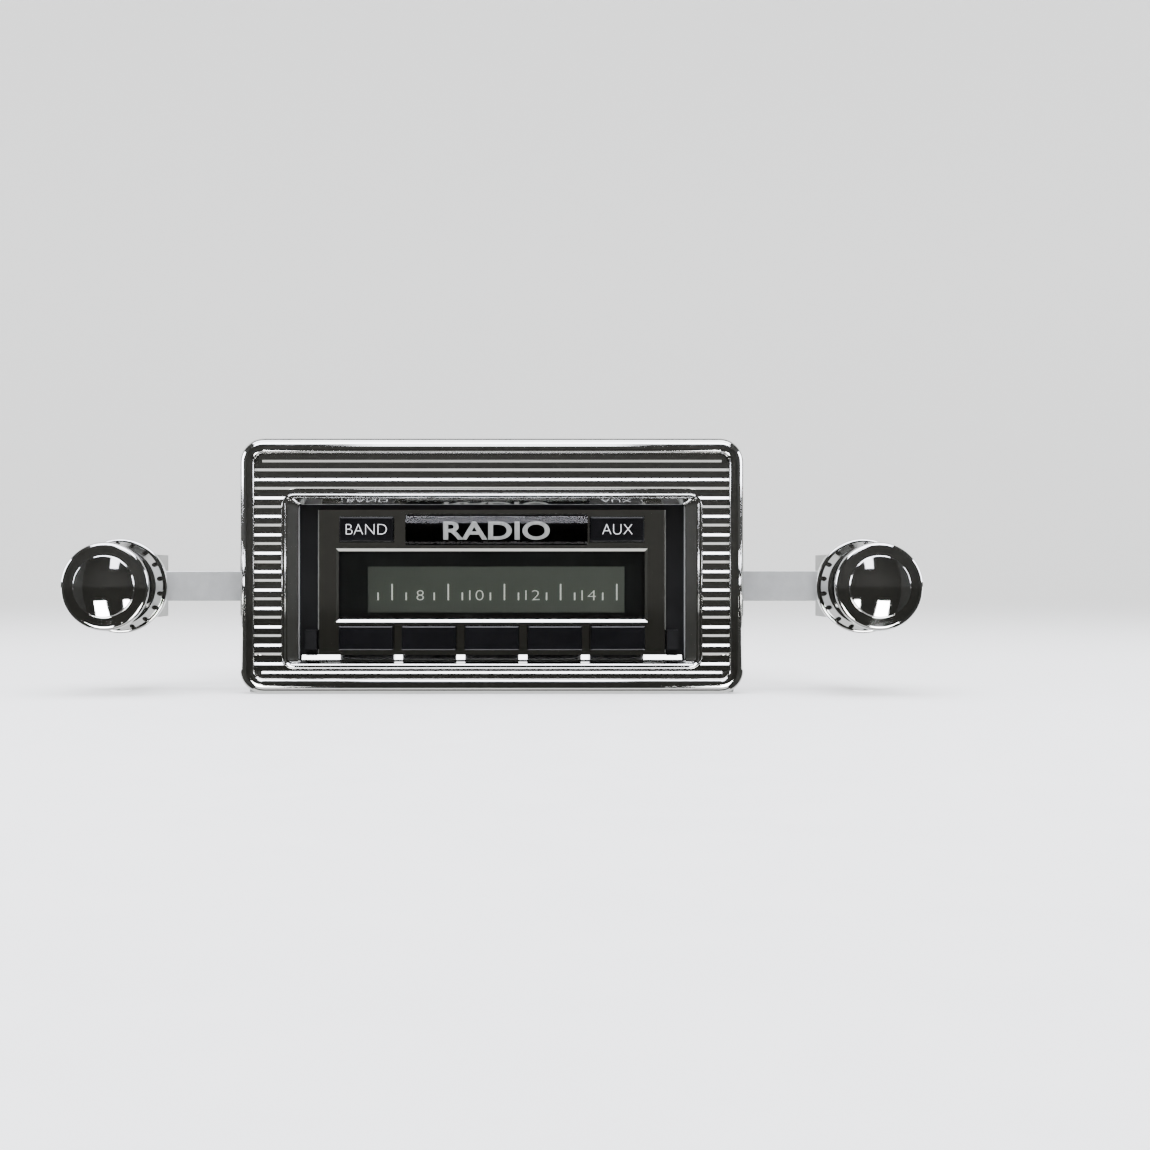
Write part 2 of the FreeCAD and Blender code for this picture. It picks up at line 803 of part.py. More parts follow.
shell_in_x = nose_w - 2.1
shell_in_low = skirt_bottom + 2.2
shell_in_high = skirt_top - 1.8
shell_out_x = shell_in_x + z.shell_wall
shell_flange = box("shell_flange", -flange_side, flange_side, plate_back, flange_back,
                   flange_bottom, flange_top)
shell_pocket = box("shell_pocket", -nose_half, nose_half, nose_face, nose_back,
                   skirt_bottom, skirt_top)
shell_seat = box("shell_seat", -nose_half, nose_half, nose_back, flange_back,
                 skirt_bottom, skirt_top)
shell_walls = box("shell_walls", -shell_out_x, shell_out_x, nose_back, shell_back,
                  skirt_bottom, skirt_top)
shell_cavity = box("shell_cavity", -shell_in_x, shell_in_x, nose_back - 1, shell_back + 1,
                   shell_in_low, shell_in_high)
nose_screw_spots = [(nose_screw_x * sx, up) for sx in (-1, 1)
                    for up in (nose_screw_high, nose_screw_low)]
board_screw_x = (shell_in_x + shell_out_x) / 2
board_screw_spots = [(board_screw_x * sx, up) for sx in (-1, 1)
                     for up in (z.nose_top - 7, z.nose_bottom + 7)]
board_screw_radius = z.screw_radius - 0.5
board_screw_reach = z.shell_depth / 2
shell_holes = [
    rod("shell_hole_%d" % index, x, plate_back - 1, up, z.shell_flange + 2, nose_screw_radius)
    for index, (x, up) in enumerate(nose_screw_spots)
]
shell_holes += [
    rod("shell_board_hole_%d" % index, x, shell_back - board_screw_reach, up,
        board_screw_reach + 1, board_screw_radius)
    for index, (x, up) in enumerate(board_screw_spots)
]
ears = [
    box("shell_ear_%s" % side, x0, x1, z.ear_depth, plate_back + z.shell_flange / 2,
        z.ear_bottom, z.ear_top)
    for side, x0, x1 in (
        ("left", -(nose_w + z.ear_gap + z.ear_width), -(nose_w + z.ear_gap)),
        ("right", nose_w + z.ear_gap, nose_w + z.ear_gap + z.ear_width))
]
keep("nose_shell", cut("nose_shell_piece",
                       fuse("shell_solid", cut("shell_flange_seat", shell_flange, shell_pocket),
                            shell_seat, shell_walls, *ears),
                       shell_cavity, *shell_holes))


def screw(label, x, up, under_head, reach, radius, head_radius, head_height, way=1):
    """A screw along Y: its head beyond under_head, its shank reaching back from there."""
    return turned(label, [
        (0, under_head - reach * way), (radius, under_head - reach * way),
        (radius, under_head), (head_radius, under_head),
        (head_radius, under_head + head_height * way), (0, under_head + head_height * way),
    ], x, up)


keep("nose_screws", group("nose_screw_set", *[
    screw("nose_screw_%d" % index, x, up, flange_back,
          z.shell_flange + z.front_plate_thickness, nose_screw_radius,
          z.screw_head_radius - 0.3, z.screw_head_height)
    for index, (x, up) in enumerate(nose_screw_spots)
]))


# ---- display --------------------------------------------------------------------------------

keep("display_lens", box(
    "display_lens_piece", -(rebate_half - z.lens_fit), rebate_half - z.lens_fit,
    lens_front, nose_back, rebate_low + z.lens_fit, rebate_high - z.lens_fit))
mask_back = nose_back + z.mask_thickness
keep("display_mask", cut(
    "display_mask_piece",
    box("mask_sheet", -(rebate_half + z.mask_margin), rebate_half + z.mask_margin,
        nose_back, mask_back, rebate_low - z.mask_margin, rebate_high + z.mask_margin),
    box("mask_hole", z.lcd_shift - z.lcd_width / 2, z.lcd_shift + z.lcd_width / 2,
        nose_back - 1, mask_back + 1,
        z.lcd_middle - z.lcd_height / 2, z.lcd_middle + z.lcd_height / 2)))
lcd_x = z.lcd_width / 2 + z.lcd_border
lcd_low = z.lcd_middle - z.lcd_height / 2 - z.lcd_border
lcd_high = z.lcd_middle + z.lcd_height / 2 + z.lcd_border
lcd_back = mask_back + z.lcd_thickness
keep("lcd_glass", box("lcd_glass_piece", z.lcd_shift - lcd_x, z.lcd_shift + lcd_x,
                      mask_back, lcd_back, lcd_low, lcd_high))
keep("lcd_backlight", box("lcd_backlight_piece", z.lcd_shift - lcd_x, z.lcd_shift + lcd_x,
                          lcd_back, shell_back, lcd_low, lcd_high))
keep("display_board", cut(
    "display_board_piece",
    box("display_board_sheet", -shell_out_x, shell_out_x, shell_back, display_back,
        skirt_bottom, skirt_top),
    *[rod("display_board_hole_%d" % index, x, shell_back - 1, up, z.board_thickness + 2,
          board_screw_radius)
      for index, (x, up) in enumerate(board_screw_spots)]))
keep("display_board_screws", group("display_board_screw_set", *[
    screw("display_board_screw_%d" % index, x, up, display_back,
          z.board_thickness + board_screw_reach - 0.4, board_screw_radius,
          z.screw_head_radius - 0.8, z.screw_head_height - 0.2)
    for index, (x, up) in enumerate(board_screw_spots)
]))


# ---- buttons and their switches --------------------------------------------------------------

flange_front = nose_back + z.button_fit
flange_rear = flange_front + z.button_flange_depth
stem_end = flange_rear + 0.2
dome_front = stem_end + z.button_travel + z.button_overtravel
switch_front = dome_front + z.switch_dome_height


def make_button(label, x, up, height, rise):
    """Cap with softened edges, a flange that stops it behind the frame, and a short stem."""
    body = new_body(label + "_body")
    half = z.button_width / 2
    grow = z.button_flange
    collar = new_sketch(body, "collar", "XZ_Plane", -flange_rear)
    rectangle(collar, -(half + grow), half + grow, -(height / 2 + grow), height / 2 + grow)
    pad(body, collar, z.button_flange_depth)
    cap = new_sketch(body, "cap", "XZ_Plane", -flange_front)
    rectangle(cap, -half, half, -(height / 2), height / 2)
    front = rise - nose_face
    cap_pad = pad(body, cap, flange_front + front)
    stem = new_sketch(body, "stem", "XZ_Plane", -flange_rear)
    circle(stem, 0, 0, z.button_stem_radius)
    last = pad(body, stem, stem_end - flange_rear, back=True)
    level = -front.value
    soften(body, "Fillet", last, z.button_edge, lambda edge: flat_in_y(edge, level))
    place(body, x, 0, up)
    return body


for label, x, up, height, rise in button_places:
    keep(label, make_button(label, x, up, height, rise))

switches = []
for label, x, up, height, rise in button_places:
    side = z.switch_side / 2
    switches.append(fuse(
        "switch_" + label,
        box("switch_base_" + label, x - side, x + side, switch_front, shell_back,
            up - side, up + side),
        rod("switch_dome_" + label, x, dome_front, up, z.switch_dome_height,
            z.switch_dome_radius)))
keep("tact_switches", group("tact_switch_set", *switches))


# ---- badge ----------------------------------------------------------------------------------

plate_face = nose_face - z.badge_plate_thickness
keep("badge_plate", box("badge_plate_piece", badge_x0, badge_x1, plate_face, nose_face,
                        badge_low, badge_high))


def make_badge_lens():
    """Clear moulding with an even edge and a crowned front."""
    body = new_body("badge_lens_body")
    sketch = new_sketch(body, "section", "YZ_Plane", badge_x0)
    edge = plate_face - z.badge_edge
    half = z.badge_height / 2
    crown = (half * half + z.badge_crown * z.badge_crown) / (z.badge_crown * 2)
    loop(sketch, [
        (plate_face, badge_high), (edge, badge_high, crown),
        (edge, badge_low), (plate_face, badge_low)])
    pad(body, sketch, z.badge_width)
    return body


keep("badge_lens", make_badge_lens())


# ---- controls on both sides -----------------------------------------------------------------

def make_knob(label, x):
    """Cup-shaped knob: tapered skirt, round rim, and a polished dome in a fine groove."""
    back = -(z.escutcheon_thickness + z.ring_gap + z.ring_band + z.ring_step + z.knob_gap)
    tip = back - z.knob_length
    dome_edge = tip + z.knob_dome_sag
    face_in = dome_edge + z.knob_dome_step
    face_out = face_in + z.knob_face_rise
    widest = face_out + z.knob_rim
    fillet = z.knob_dome_fillet
    dome = ((z.knob_dome_radius * z.knob_dome_radius + z.knob_dome_sag * z.knob_dome_sag)
            / (z.knob_dome_sag * 2))
    bore_end = back - z.spindle_reach
    return turned(label, [
        (z.spindle_radius, back), (z.knob_rear_radius, back),
        (z.knob_radius, widest, -z.knob_rim),
        (z.knob_radius - z.knob_rim, face_out),
        (z.knob_dome_radius + fillet, face_in, fillet),
        (z.knob_dome_radius, face_in - fillet),
        (z.knob_dome_radius, dome_edge, -dome),
        (0, tip), (0, bore_end), (z.spindle_radius, bore_end),
    ], x, z.control_height)


def make_ring_knob(label, x):
    """Rear ring knob with evenly spaced notches round its band."""
    back = -(z.escutcheon_thickness + z.ring_gap)
    shoulder = back - z.ring_band
    front = shoulder - z.ring_step
    hub_back = front + z.ring_hub
    cavity = z.control_nut_radius + 1.2
    body = turned(label, [
        (cavity, back), (z.ring_radius, back), (z.ring_radius, shoulder + z.ring_slope),
        (z.ring_slope_radius, shoulder), (z.ring_step_radius, shoulder),
        (z.ring_step_radius, front),
        (z.sleeve_radius, front), (z.sleeve_radius, hub_back), (cavity, hub_back),
    ], x, z.control_height)
    notch = new_sketch(body, "notch", "XZ_Plane", -back)
    circle(notch, 0, z.ring_radius - z.notch_inset, z.notch_radius)
    slot = pocket(body, notch, z.ring_band, forward=True)
    pattern = body.newObject("PartDesign::PolarPattern", label + "_notches")
    pattern.Originals = [slot]
    pattern.Axis = (notch, ["N_Axis"])
    pattern.Angle = 360
    bind(pattern, "Occurrences", z.ring_notches)
    body.Tip = pattern
    return body


knob_back = -(z.escutcheon_thickness + z.ring_gap + z.ring_band + z.ring_step + z.knob_gap)
ring_front = knob_back + z.knob_gap
grub_level = knob_back - 4.5
grub_radius = z.screw_radius
can_front = plate_front + z.bracket_thickness
can_back = can_front + z.control_can_depth
sleeve_end = can_front + 4
spindle_end = can_front + 8

leads_y = can_back + z.lead_straight + z.lead_bend
bracket_screw_y = (16, 28)
control_nuts = []
bracket_screws = []
lead_sleeves = {}
for side, sign in (("left", -1), ("right", 1)):
    x = z.control_spacing / 2 * sign
    up = z.control_height
    knob = make_knob("knob_blank_" + side, x)
    grub_hole = rod("knob_grub_hole_" + side, x, grub_level, up - z.knob_radius - 2,
                    z.knob_radius + 2, grub_radius, ALONG_Z)
    keep("knob_" + side, cut("knob_piece_" + side, knob, grub_hole))
    keep("grub_screw_" + side, rod(
        "grub_screw_piece_" + side, x, grub_level, up - z.spindle_radius - 5, 5,
        grub_radius, ALONG_Z))
    keep("ring_knob_" + side, make_ring_knob("ring_knob_body_" + side, x))
    keep("spindle_" + side, rod("spindle_piece_" + side, x, knob_back - z.spindle_reach, up,
                                spindle_end - knob_back + z.spindle_reach, z.spindle_radius))
    keep("sleeve_" + side, turned("sleeve_piece_" + side, [
        (z.spindle_radius + z.running_fit, ring_front), (z.sleeve_radius, ring_front),
        (z.sleeve_radius, sleeve_end), (z.spindle_radius + z.running_fit, sleeve_end),
    ], x, up))
    keep("escutcheon_" + side, turned("escutcheon_piece_" + side, [
        (z.shoulder_radius, 0), (z.escutcheon_radius, 0),
        (z.escutcheon_radius, -(z.escutcheon_thickness / 2), z.escutcheon_thickness / -2),
        (z.escutcheon_radius - z.escutcheon_thickness / 2, -z.escutcheon_thickness),
        (z.shoulder_radius, -z.escutcheon_thickness),
    ], x, up))
    nut_back = -z.escutcheon_thickness
    control_nuts.append(cut(
        "control_nut_" + side,
        hexagon("control_nut_hex_" + side, x, nut_back - z.control_nut_height, up,
                z.control_nut_height, z.control_nut_radius),
        rod("control_nut_hole_" + side, x, nut_back - z.control_nut_height - 1, up,
            z.control_nut_height + 2, z.bushing_radius)))
    can_half = z.control_can / 2
    can = fuse(
        "can_solid_" + side,
        box("can_box_" + side, x - can_half, x + can_half, can_front, can_back,
            up - can_half, up + can_half),
        rod("can_collar_" + side, x, plate_front, up, z.bracket_thickness + 1, z.collar_radius),
        rod("can_shoulder_" + side, x, 0, up, can_front + 1, z.shoulder_radius),
        rod("can_bushing_" + side, x, -z.bushing_length, up, z.bushing_length + 1,
            z.bushing_radius))
    keep("control_" + side, cut(
        "control_piece_" + side, can,
        rod("can_sleeve_bore_" + side, x, -z.bushing_length - 1, up,
            z.bushing_length + 1 + sleeve_end + 0.3, z.sleeve_radius + z.running_fit),
        rod("can_spindle_bore_" + side, x, 0, up, spindle_end + 0.3,
            z.spindle_radius + z.running_fit)))
    # angle bracket from the side of the chassis
    wall = half_chassis * sign
    foot = (half_chassis + z.bracket_thickness) * sign
    tip = (z.control_spacing / 2) * sign
    low = up - z.bracket_height / 2
    high = up + z.bracket_height / 2
    span = sorted((wall, tip), key=lambda value: value.value)
    leg = sorted((wall, foot), key=lambda value: value.value)
    angle = fuse(
        "bracket_solid_" + side,
        box("bracket_arm_" + side, span[0], span[1], plate_front, can_front, low, high),
        rod("bracket_end_" + side, x, plate_front, up, z.bracket_thickness,
            z.bracket_end_radius),
        box("bracket_leg_" + side, leg[0], leg[1], plate_front, plate_front + z.bracket_leg,
            low, high))
    holes = [rod("bracket_hole_" + side, x, plate_front - 1, up, z.bracket_thickness + 2,
                 z.collar_radius + z.bolt_clearance)]
    for index, depth in enumerate(bracket_screw_y):
        inner = half_inside * sign
        start = sorted((inner, foot), key=lambda value: value.value)
        holes.append(rod("bracket_leg_hole_%s_%d" % (side, index), start[0] - 1,
                         plate_front + depth, up, start[1] - start[0] + 2, z.screw_radius,
                         ALONG_X))
        head = sorted((foot, foot + z.screw_head_height * sign), key=lambda value: value.value)
        face = foot + z.screw_head_height * sign
        recess = sorted((face - z.recess_depth * sign, face + sign),
                        key=lambda value: value.value)
        screw_y = plate_front + depth
        bracket_screws.append(cut(
            "bracket_screw_%s_%d" % (side, index),
            fuse("bracket_screw_solid_%s_%d" % (side, index),
                 rod("bracket_shank_%s_%d" % (side, index), start[0], screw_y, up,
                     start[1] - start[0], z.screw_radius, ALONG_X),
                 rod("bracket_head_%s_%d" % (side, index), head[0], screw_y, up,
                     z.screw_head_height, z.screw_head_radius, ALONG_X)),
            box("bracket_recess_across_%s_%d" % (side, index), recess[0], recess[1],
                screw_y - z.recess_span / 2, screw_y + z.recess_span / 2,
                up - z.recess_width / 2, up + z.recess_width / 2),
            box("bracket_recess_up_%s_%d" % (side, index), recess[0], recess[1],
                screw_y - z.recess_width / 2, screw_y + z.recess_width / 2,
                up - z.recess_span / 2, up + z.recess_span / 2)))
    keep("bracket_" + side, cut("bracket_piece_" + side, angle, *holes))
    # lead from the back of the control into the side of the chassis
    bend_x = x - z.lead_bend * sign
    bend = doc.addObject("Part::Torus", "lead_bend_" + side)
    bind(bend, "Radius1", z.lead_bend)
    bind(bend, "Radius2", z.lead_radius)
    bend.Angle3 = 90
    turn = 0 if sign > 0 else 90
    bend.Placement = FreeCAD.Placement(
        FreeCAD.Vector(), FreeCAD.Rotation(FreeCAD.Vector(0, 0, 1), turn))
    place(bend, bend_x, leads_y - z.lead_bend, up)
    run = sorted((bend_x, half_inside * sign), key=lambda value: value.value)
    keep("lead_" + side, fuse(
        "lead_piece_" + side,
        rod("lead_start_" + side, x, can_back, up, z.lead_straight, z.lead_radius),
        bend,
        rod("lead_run_" + side, run[0], leads_y, up, run[1] - run[0], z.lead_radius, ALONG_X)))
keep("control_nuts", group("control_nut_set", *control_nuts))
keep("bracket_screws", group("bracket_screw_set", *bracket_screws))


# ---- chassis --------------------------------------------------------------------------------

side_hole_y = (
    chassis_back - z.side_hole_rear,
    chassis_back - z.side_hole_rear - z.side_hole_spacing,
)
tray_solid = fuse(
    "tray_solid",
    box("tray_floor", -half_chassis, half_chassis, plate_back, chassis_back,
        base_line, inside_floor),
    box("tray_left", -half_chassis, -half_inside, plate_back, chassis_back,
        base_line, inside_top),
    box("tray_right", half_inside, half_chassis, plate_back, chassis_back,
        base_line, inside_top),
    box("tray_left_flange", -half_chassis, -(half_inside - z.chassis_flange), plate_back,
        chassis_back - z.sheet, inside_top - z.sheet, inside_top),
    box("tray_right_flange", half_inside - z.chassis_flange, half_chassis, plate_back,
        chassis_back - z.sheet, inside_top - z.sheet, inside_top))
tray_holes = []
for sign in (-1, 1):
    start = half_inside - 1 if sign > 0 else -half_chassis - 1
    for index, depth in enumerate(bracket_screw_y):
        tray_holes.append(rod("tray_bracket_hole_%d_%d" % (sign + 1, index), start,
                              plate_front + depth, z.control_height, z.sheet + 2,
                              z.screw_radius, ALONG_X))
    for index, depth in enumerate(side_hole_y):
        tray_holes.append(rod("tray_side_hole_%d_%d" % (sign + 1, index), start, depth,
                              z.control_height, z.sheet + 2, z.side_hole_radius, ALONG_X))
    tray_holes.append(rod("tray_lead_hole_%d" % (sign + 1), start, leads_y, z.control_height,
                          z.sheet + 2, z.lead_radius, ALONG_X))
cover_spots = [
    ((half_inside - z.chassis_flange / 2) * sx, depth)
    for sx in (-1, 1)
    for depth in (plate_back + z.cover_front_inset, plate_back + z.chassis_depth / 2,
                  chassis_back - z.cover_rear_inset)
]
for index, (x, depth) in enumerate(cover_spots):
    tray_holes.append(rod("tray_cover_hole_%d" % index, x, depth, inside_top - z.sheet - 1,
                          z.sheet + 2, z.screw_radius, ALONG_Z))
keep("chassis_tray", cut("chassis_tray_piece", tray_solid, *tray_holes))

vents = []
for row, first in enumerate((-(z.vent_gap / 2 + z.vent_length), z.vent_gap / 2)):
    for index in range(VENT_COUNT):
        depth = plate_back + z.chassis_depth / 2 + z.vent_pitch * (index - (VENT_COUNT - 1) / 2)
        vents.append(box("vent_%d_%d" % (row, index), first, first + z.vent_length,
                         depth - z.vent_width / 2, depth + z.vent_width / 2,
                         inside_top - 1, chassis_top + 1))
keep("top_cover", cut(
    "top_cover_piece",
    box("cover_sheet", -half_chassis, half_chassis, plate_back, chassis_back,
        inside_top, chassis_top),
    *vents,
    *[rod("cover_hole_%d" % index, x, depth, inside_top - 1, z.sheet + 2, z.screw_radius,
          ALONG_Z)
      for index, (x, depth) in enumerate(cover_spots)]))
recess_low = chassis_top + z.screw_head_height - z.recess_depth
recess_high = chassis_top + z.screw_head_height + 1
keep("cover_screws", group("cover_screw_set", *[
    cut("cover_screw_%d" % index,
        fuse("cover_screw_solid_%d" % index,
             rod("cover_shank_%d" % index, x, depth, inside_top - z.sheet, z.sheet * 2,
                 z.screw_radius, ALONG_Z),
             rod("cover_head_%d" % index, x, depth, chassis_top, z.screw_head_height,
                 z.screw_head_radius, ALONG_Z)),
        box("cover_recess_across_%d" % index, x - z.recess_span / 2, x + z.recess_span / 2,
            depth - z.recess_width / 2, depth + z.recess_width / 2, recess_low, recess_high),
        box("cover_recess_along_%d" % index, x - z.recess_width / 2, x + z.recess_width / 2,
            depth - z.recess_span / 2, depth + z.recess_span / 2, recess_low, recess_high))
    for index, (x, depth) in enumerate(cover_spots)
]))

# main board on its spacers
board_half = half_inside - z.main_board_side_gap
board_low = inside_floor + z.main_board_height
board_high = board_low + z.board_thickness
board_front = plate_back + z.main_board_front_gap
board_rear = chassis_back - z.sheet - z.main_board_rear_gap
spacer_spots = [
    ((board_half - z.spacer_side_inset) * sx, depth)
    for sx in (-1, 1)
    for depth in (board_front + z.spacer_end_inset, board_rear - z.spacer_end_inset)
]
spacer_hole = z.main_board_height / 2
keep("board_spacers", group("board_spacer_set", *[
    cut("board_spacer_%d" % index,
        rod("spacer_post_%d" % index, x, depth, inside_floor, z.main_board_height,
            z.spacer_radius, ALONG_Z),
        rod("spacer_hole_%d" % index, x, depth, board_low - spacer_hole, spacer_hole + 1,
            z.screw_radius, ALONG_Z))
    for index, (x, depth) in enumerate(spacer_spots)
]))
keep("board_screws", group("board_screw_set", *[
    fuse("board_screw_%d" % index,
         rod("board_shank_%d" % index, x, depth,
             board_low - spacer_hole + z.spacer_thread_gap,
             spacer_hole - z.spacer_thread_gap + z.board_thickness, z.screw_radius, ALONG_Z),
         rod("board_head_%d" % index, x, depth, board_high, z.screw_head_height,
             z.screw_head_radius, ALONG_Z))
    for index, (x, depth) in enumerate(spacer_spots)
]))
keep("main_board", cut(
    "main_board_piece",
    box("main_board_sheet", -board_half, board_half, board_front, board_rear,
        board_low, board_high),
    *[rod("main_board_hole_%d" % index, x, depth, board_low - 1, z.board_thickness + 2,
          z.screw_radius, ALONG_Z)
      for index, (x, depth) in enumerate(spacer_spots)]))

# parts on the main board
keep("board_connector", box(
    "board_connector_piece", -(z.connector_width / 2), z.connector_width / 2, display_back,
    board_front + z.connector_reach, board_high, board_high + z.connector_height))
tuner_front = board_front + z.tuner_inset
keep("tuner_module", box(
    "tuner_module_piece", z.tuner_start, z.tuner_start + z.tuner_width, tuner_front,
    tuner_front + z.tuner_length, board_high, board_high + z.tuner_height))
keep("capacitors", group("capacitor_set", *[
    rod("capacitor_%d" % index, z.capacitor_start + z.capacitor_pitch * index,
        board_front + z.capacitor_inset, board_high, z.capacitor_height,
        z.capacitor_radius, ALONG_Z)
    for index in range(CAPACITOR_COUNT)
]))
panel_front = chassis_back - z.sheet
keep("amplifier", box(
    "amplifier_piece", z.amplifier_start, z.amplifier_start + z.amplifier_width,
    board_rear - z.amplifier_reach, panel_front, board_high,
    board_high + z.amplifier_height))

# rear panel and what it carries
sink_x0 = z.sink_start
sink_low = board_high - z.sink_drop
stud_spot = (z.rear_stud_x, board_high + z.rear_stud_rise)
antenna_spot = (z.antenna_x, board_high + z.antenna_rise)
jack_up = board_high + z.jack_rise
jack_spots = [(z.jack_start, jack_up), (z.jack_start + z.jack_pitch, jack_up)]
plug_x0 = z.plug_start
plug_x1 = plug_x0 + z.plug_width
plug_low = board_high
plug_high = board_high + z.plug_height
plug_back = chassis_back + z.plug_reach
neck_radius = z.antenna_bore + z.antenna_neck_wall
jack_neck = z.jack_radius - z.jack_neck_step
keep("rear_panel", cut(
    "rear_panel_piece",
    box("rear_panel_sheet", -half_inside, half_inside, panel_front, chassis_back,
        inside_floor, inside_top),
    box("rear_panel_plug_hole", plug_x0, plug_x1, panel_front - 1, chassis_back + 1,
        plug_low, plug_high),
    rod("rear_panel_stud_hole", stud_spot[0], panel_front - 1, stud_spot[1], z.sheet + 2,
        z.rear_stud_radius),
    rod("rear_panel_antenna_hole", antenna_spot[0], panel_front - 1, antenna_spot[1],
        z.sheet + 2, neck_radius),
    *[rod("rear_panel_jack_hole_%d" % index, x, panel_front - 1, up, z.sheet + 2, jack_neck)
      for index, (x, up) in enumerate(jack_spots)]))
sink_base_back = chassis_back + z.sink_base
fin_pitch = (z.sink_width - z.sink_fin) / (z.sink_fins - 1)
keep("heat_sink", fuse(
    "heat_sink_piece",
    box("sink_plate", sink_x0, sink_x0 + z.sink_width, chassis_back, sink_base_back,
        sink_low, sink_low + z.sink_height),
    *[box("sink_fin_%d" % index, sink_x0 + fin_pitch * index,
          sink_x0 + fin_pitch * index + z.sink_fin, chassis_back,
          sink_base_back + z.sink_fin_depth, sink_low, sink_low + z.sink_height)
      for index in range(int(z.sink_fins.value))]))
keep("rear_stud", fuse(
    "rear_stud_piece",
    rod("rear_stud_shank", stud_spot[0], panel_front, stud_spot[1],
        z.sheet + z.rear_stud_length, z.rear_stud_radius),
    rod("rear_stud_collar", stud_spot[0], chassis_back, stud_spot[1], z.sheet * 1.5,
        z.rear_stud_radius * 2)))
keep("antenna_socket", turned("antenna_socket_piece", [
    (0, panel_front), (neck_radius, panel_front), (neck_radius, chassis_back),
    (z.antenna_bore + z.antenna_wall, chassis_back),
    (z.antenna_bore + z.antenna_wall, chassis_back + z.antenna_length),
    (z.antenna_bore, chassis_back + z.antenna_length),
    (z.antenna_bore, chassis_back + z.antenna_floor), (0, chassis_back + z.antenna_floor),
], antenna_spot[0], antenna_spot[1]))
jack_flange = z.jack_radius + z.jack_flange_rim
jack_base = chassis_back + z.jack_flange_height
keep("rca_jacks", group("rca_jack_set", *[
    turned("rca_jack_%d" % index, [
        (0, panel_front), (jack_neck, panel_front), (jack_neck, chassis_back),
        (jack_flange, chassis_back), (jack_flange, jack_base), (z.jack_radius, jack_base),
        (z.jack_radius, jack_base + z.jack_length), (z.jack_hole, jack_base + z.jack_length),
        (z.jack_hole, jack_base), (0, jack_base),
    ], x, up)
    for index, (x, up) in enumerate(jack_spots)
]))
plug_front = board_rear - z.plug_inset
keep("harness_socket", cut(
    "harness_socket_piece",
    box("plug_block", plug_x0, plug_x1, plug_front, plug_back, plug_low, plug_high),
    box("plug_cavity", plug_x0 + z.plug_wall, plug_x1 - z.plug_wall, plug_front + z.plug_floor,
        plug_back + 1, plug_low + z.plug_wall, plug_high - z.plug_wall)))


# ---- check and write ------------------------------------------------------------------------

doc.recompute()
for item in doc.Objects:
    if "Invalid" in item.State or "Error" in item.State:
        raise RuntimeError("%s: %s" % (item.Name, item.State))
for label, item in parts.items():
    shape = item.Shape
    if shape.isNull() or not shape.isValid() or not shape.Solids:
        raise RuntimeError("%s has no valid solid" % label)
os.makedirs("parts", exist_ok=True)
for label, item in parts.items():
    item.Shape.exportStep("parts/%s.step" % label)
print("wrote %d sub-parts" % len(parts))
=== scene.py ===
import json
import math
import bpy
import bmesh
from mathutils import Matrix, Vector


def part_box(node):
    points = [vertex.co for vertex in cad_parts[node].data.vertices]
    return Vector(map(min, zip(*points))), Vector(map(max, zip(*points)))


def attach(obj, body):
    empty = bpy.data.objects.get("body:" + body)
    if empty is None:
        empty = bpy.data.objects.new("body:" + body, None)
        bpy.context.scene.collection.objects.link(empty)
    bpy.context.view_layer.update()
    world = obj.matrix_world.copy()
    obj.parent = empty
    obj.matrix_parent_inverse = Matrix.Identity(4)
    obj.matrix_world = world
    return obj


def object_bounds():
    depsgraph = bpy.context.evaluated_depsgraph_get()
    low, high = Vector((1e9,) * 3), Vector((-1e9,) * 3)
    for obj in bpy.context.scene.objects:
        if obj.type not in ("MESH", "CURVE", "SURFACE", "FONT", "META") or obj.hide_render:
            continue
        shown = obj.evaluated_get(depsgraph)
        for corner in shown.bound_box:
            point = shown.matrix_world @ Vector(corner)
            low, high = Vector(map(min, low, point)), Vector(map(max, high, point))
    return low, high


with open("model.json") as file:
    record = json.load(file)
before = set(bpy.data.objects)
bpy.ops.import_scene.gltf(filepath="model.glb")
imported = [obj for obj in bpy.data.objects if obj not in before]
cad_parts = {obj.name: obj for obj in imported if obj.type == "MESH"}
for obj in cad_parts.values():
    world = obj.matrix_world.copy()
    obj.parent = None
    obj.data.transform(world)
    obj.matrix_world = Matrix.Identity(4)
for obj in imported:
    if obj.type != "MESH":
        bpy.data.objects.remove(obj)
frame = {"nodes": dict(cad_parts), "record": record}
cad_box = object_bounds()
nodes = frame["nodes"]
MM = 0.001


# ---- node helpers ---------------------------------------------------------------------------

def new_material(name):
    """A node material with an empty tree apart from its shader and output."""
    material = bpy.data.materials.new(name)
    material.use_nodes = True
    tree = material.node_tree
    shader = next(node for node in tree.nodes if node.type == "BSDF_PRINCIPLED")
    return material, tree, shader


def coordinates(tree, scale=(1, 1, 1)):
    """Object coordinates, stretched."""
    coord = tree.nodes.new("ShaderNodeTexCoord")
    mapping = tree.nodes.new("ShaderNodeMapping")
    mapping.inputs["Scale"].default_value = scale
    tree.links.new(coord.outputs["Object"], mapping.inputs["Vector"])
    return mapping.outputs["Vector"]


def noise(tree, vector, scale, detail=4.0, rough=0.55, distortion=0.0):
    """A noise texture's factor."""
    node = tree.nodes.new("ShaderNodeTexNoise")
    node.inputs["Scale"].default_value = scale
    node.inputs["Detail"].default_value = detail
    node.inputs["Roughness"].default_value = rough
    node.inputs["Distortion"].default_value = distortion
    tree.links.new(vector, node.inputs["Vector"])
    return node.outputs["Fac"]


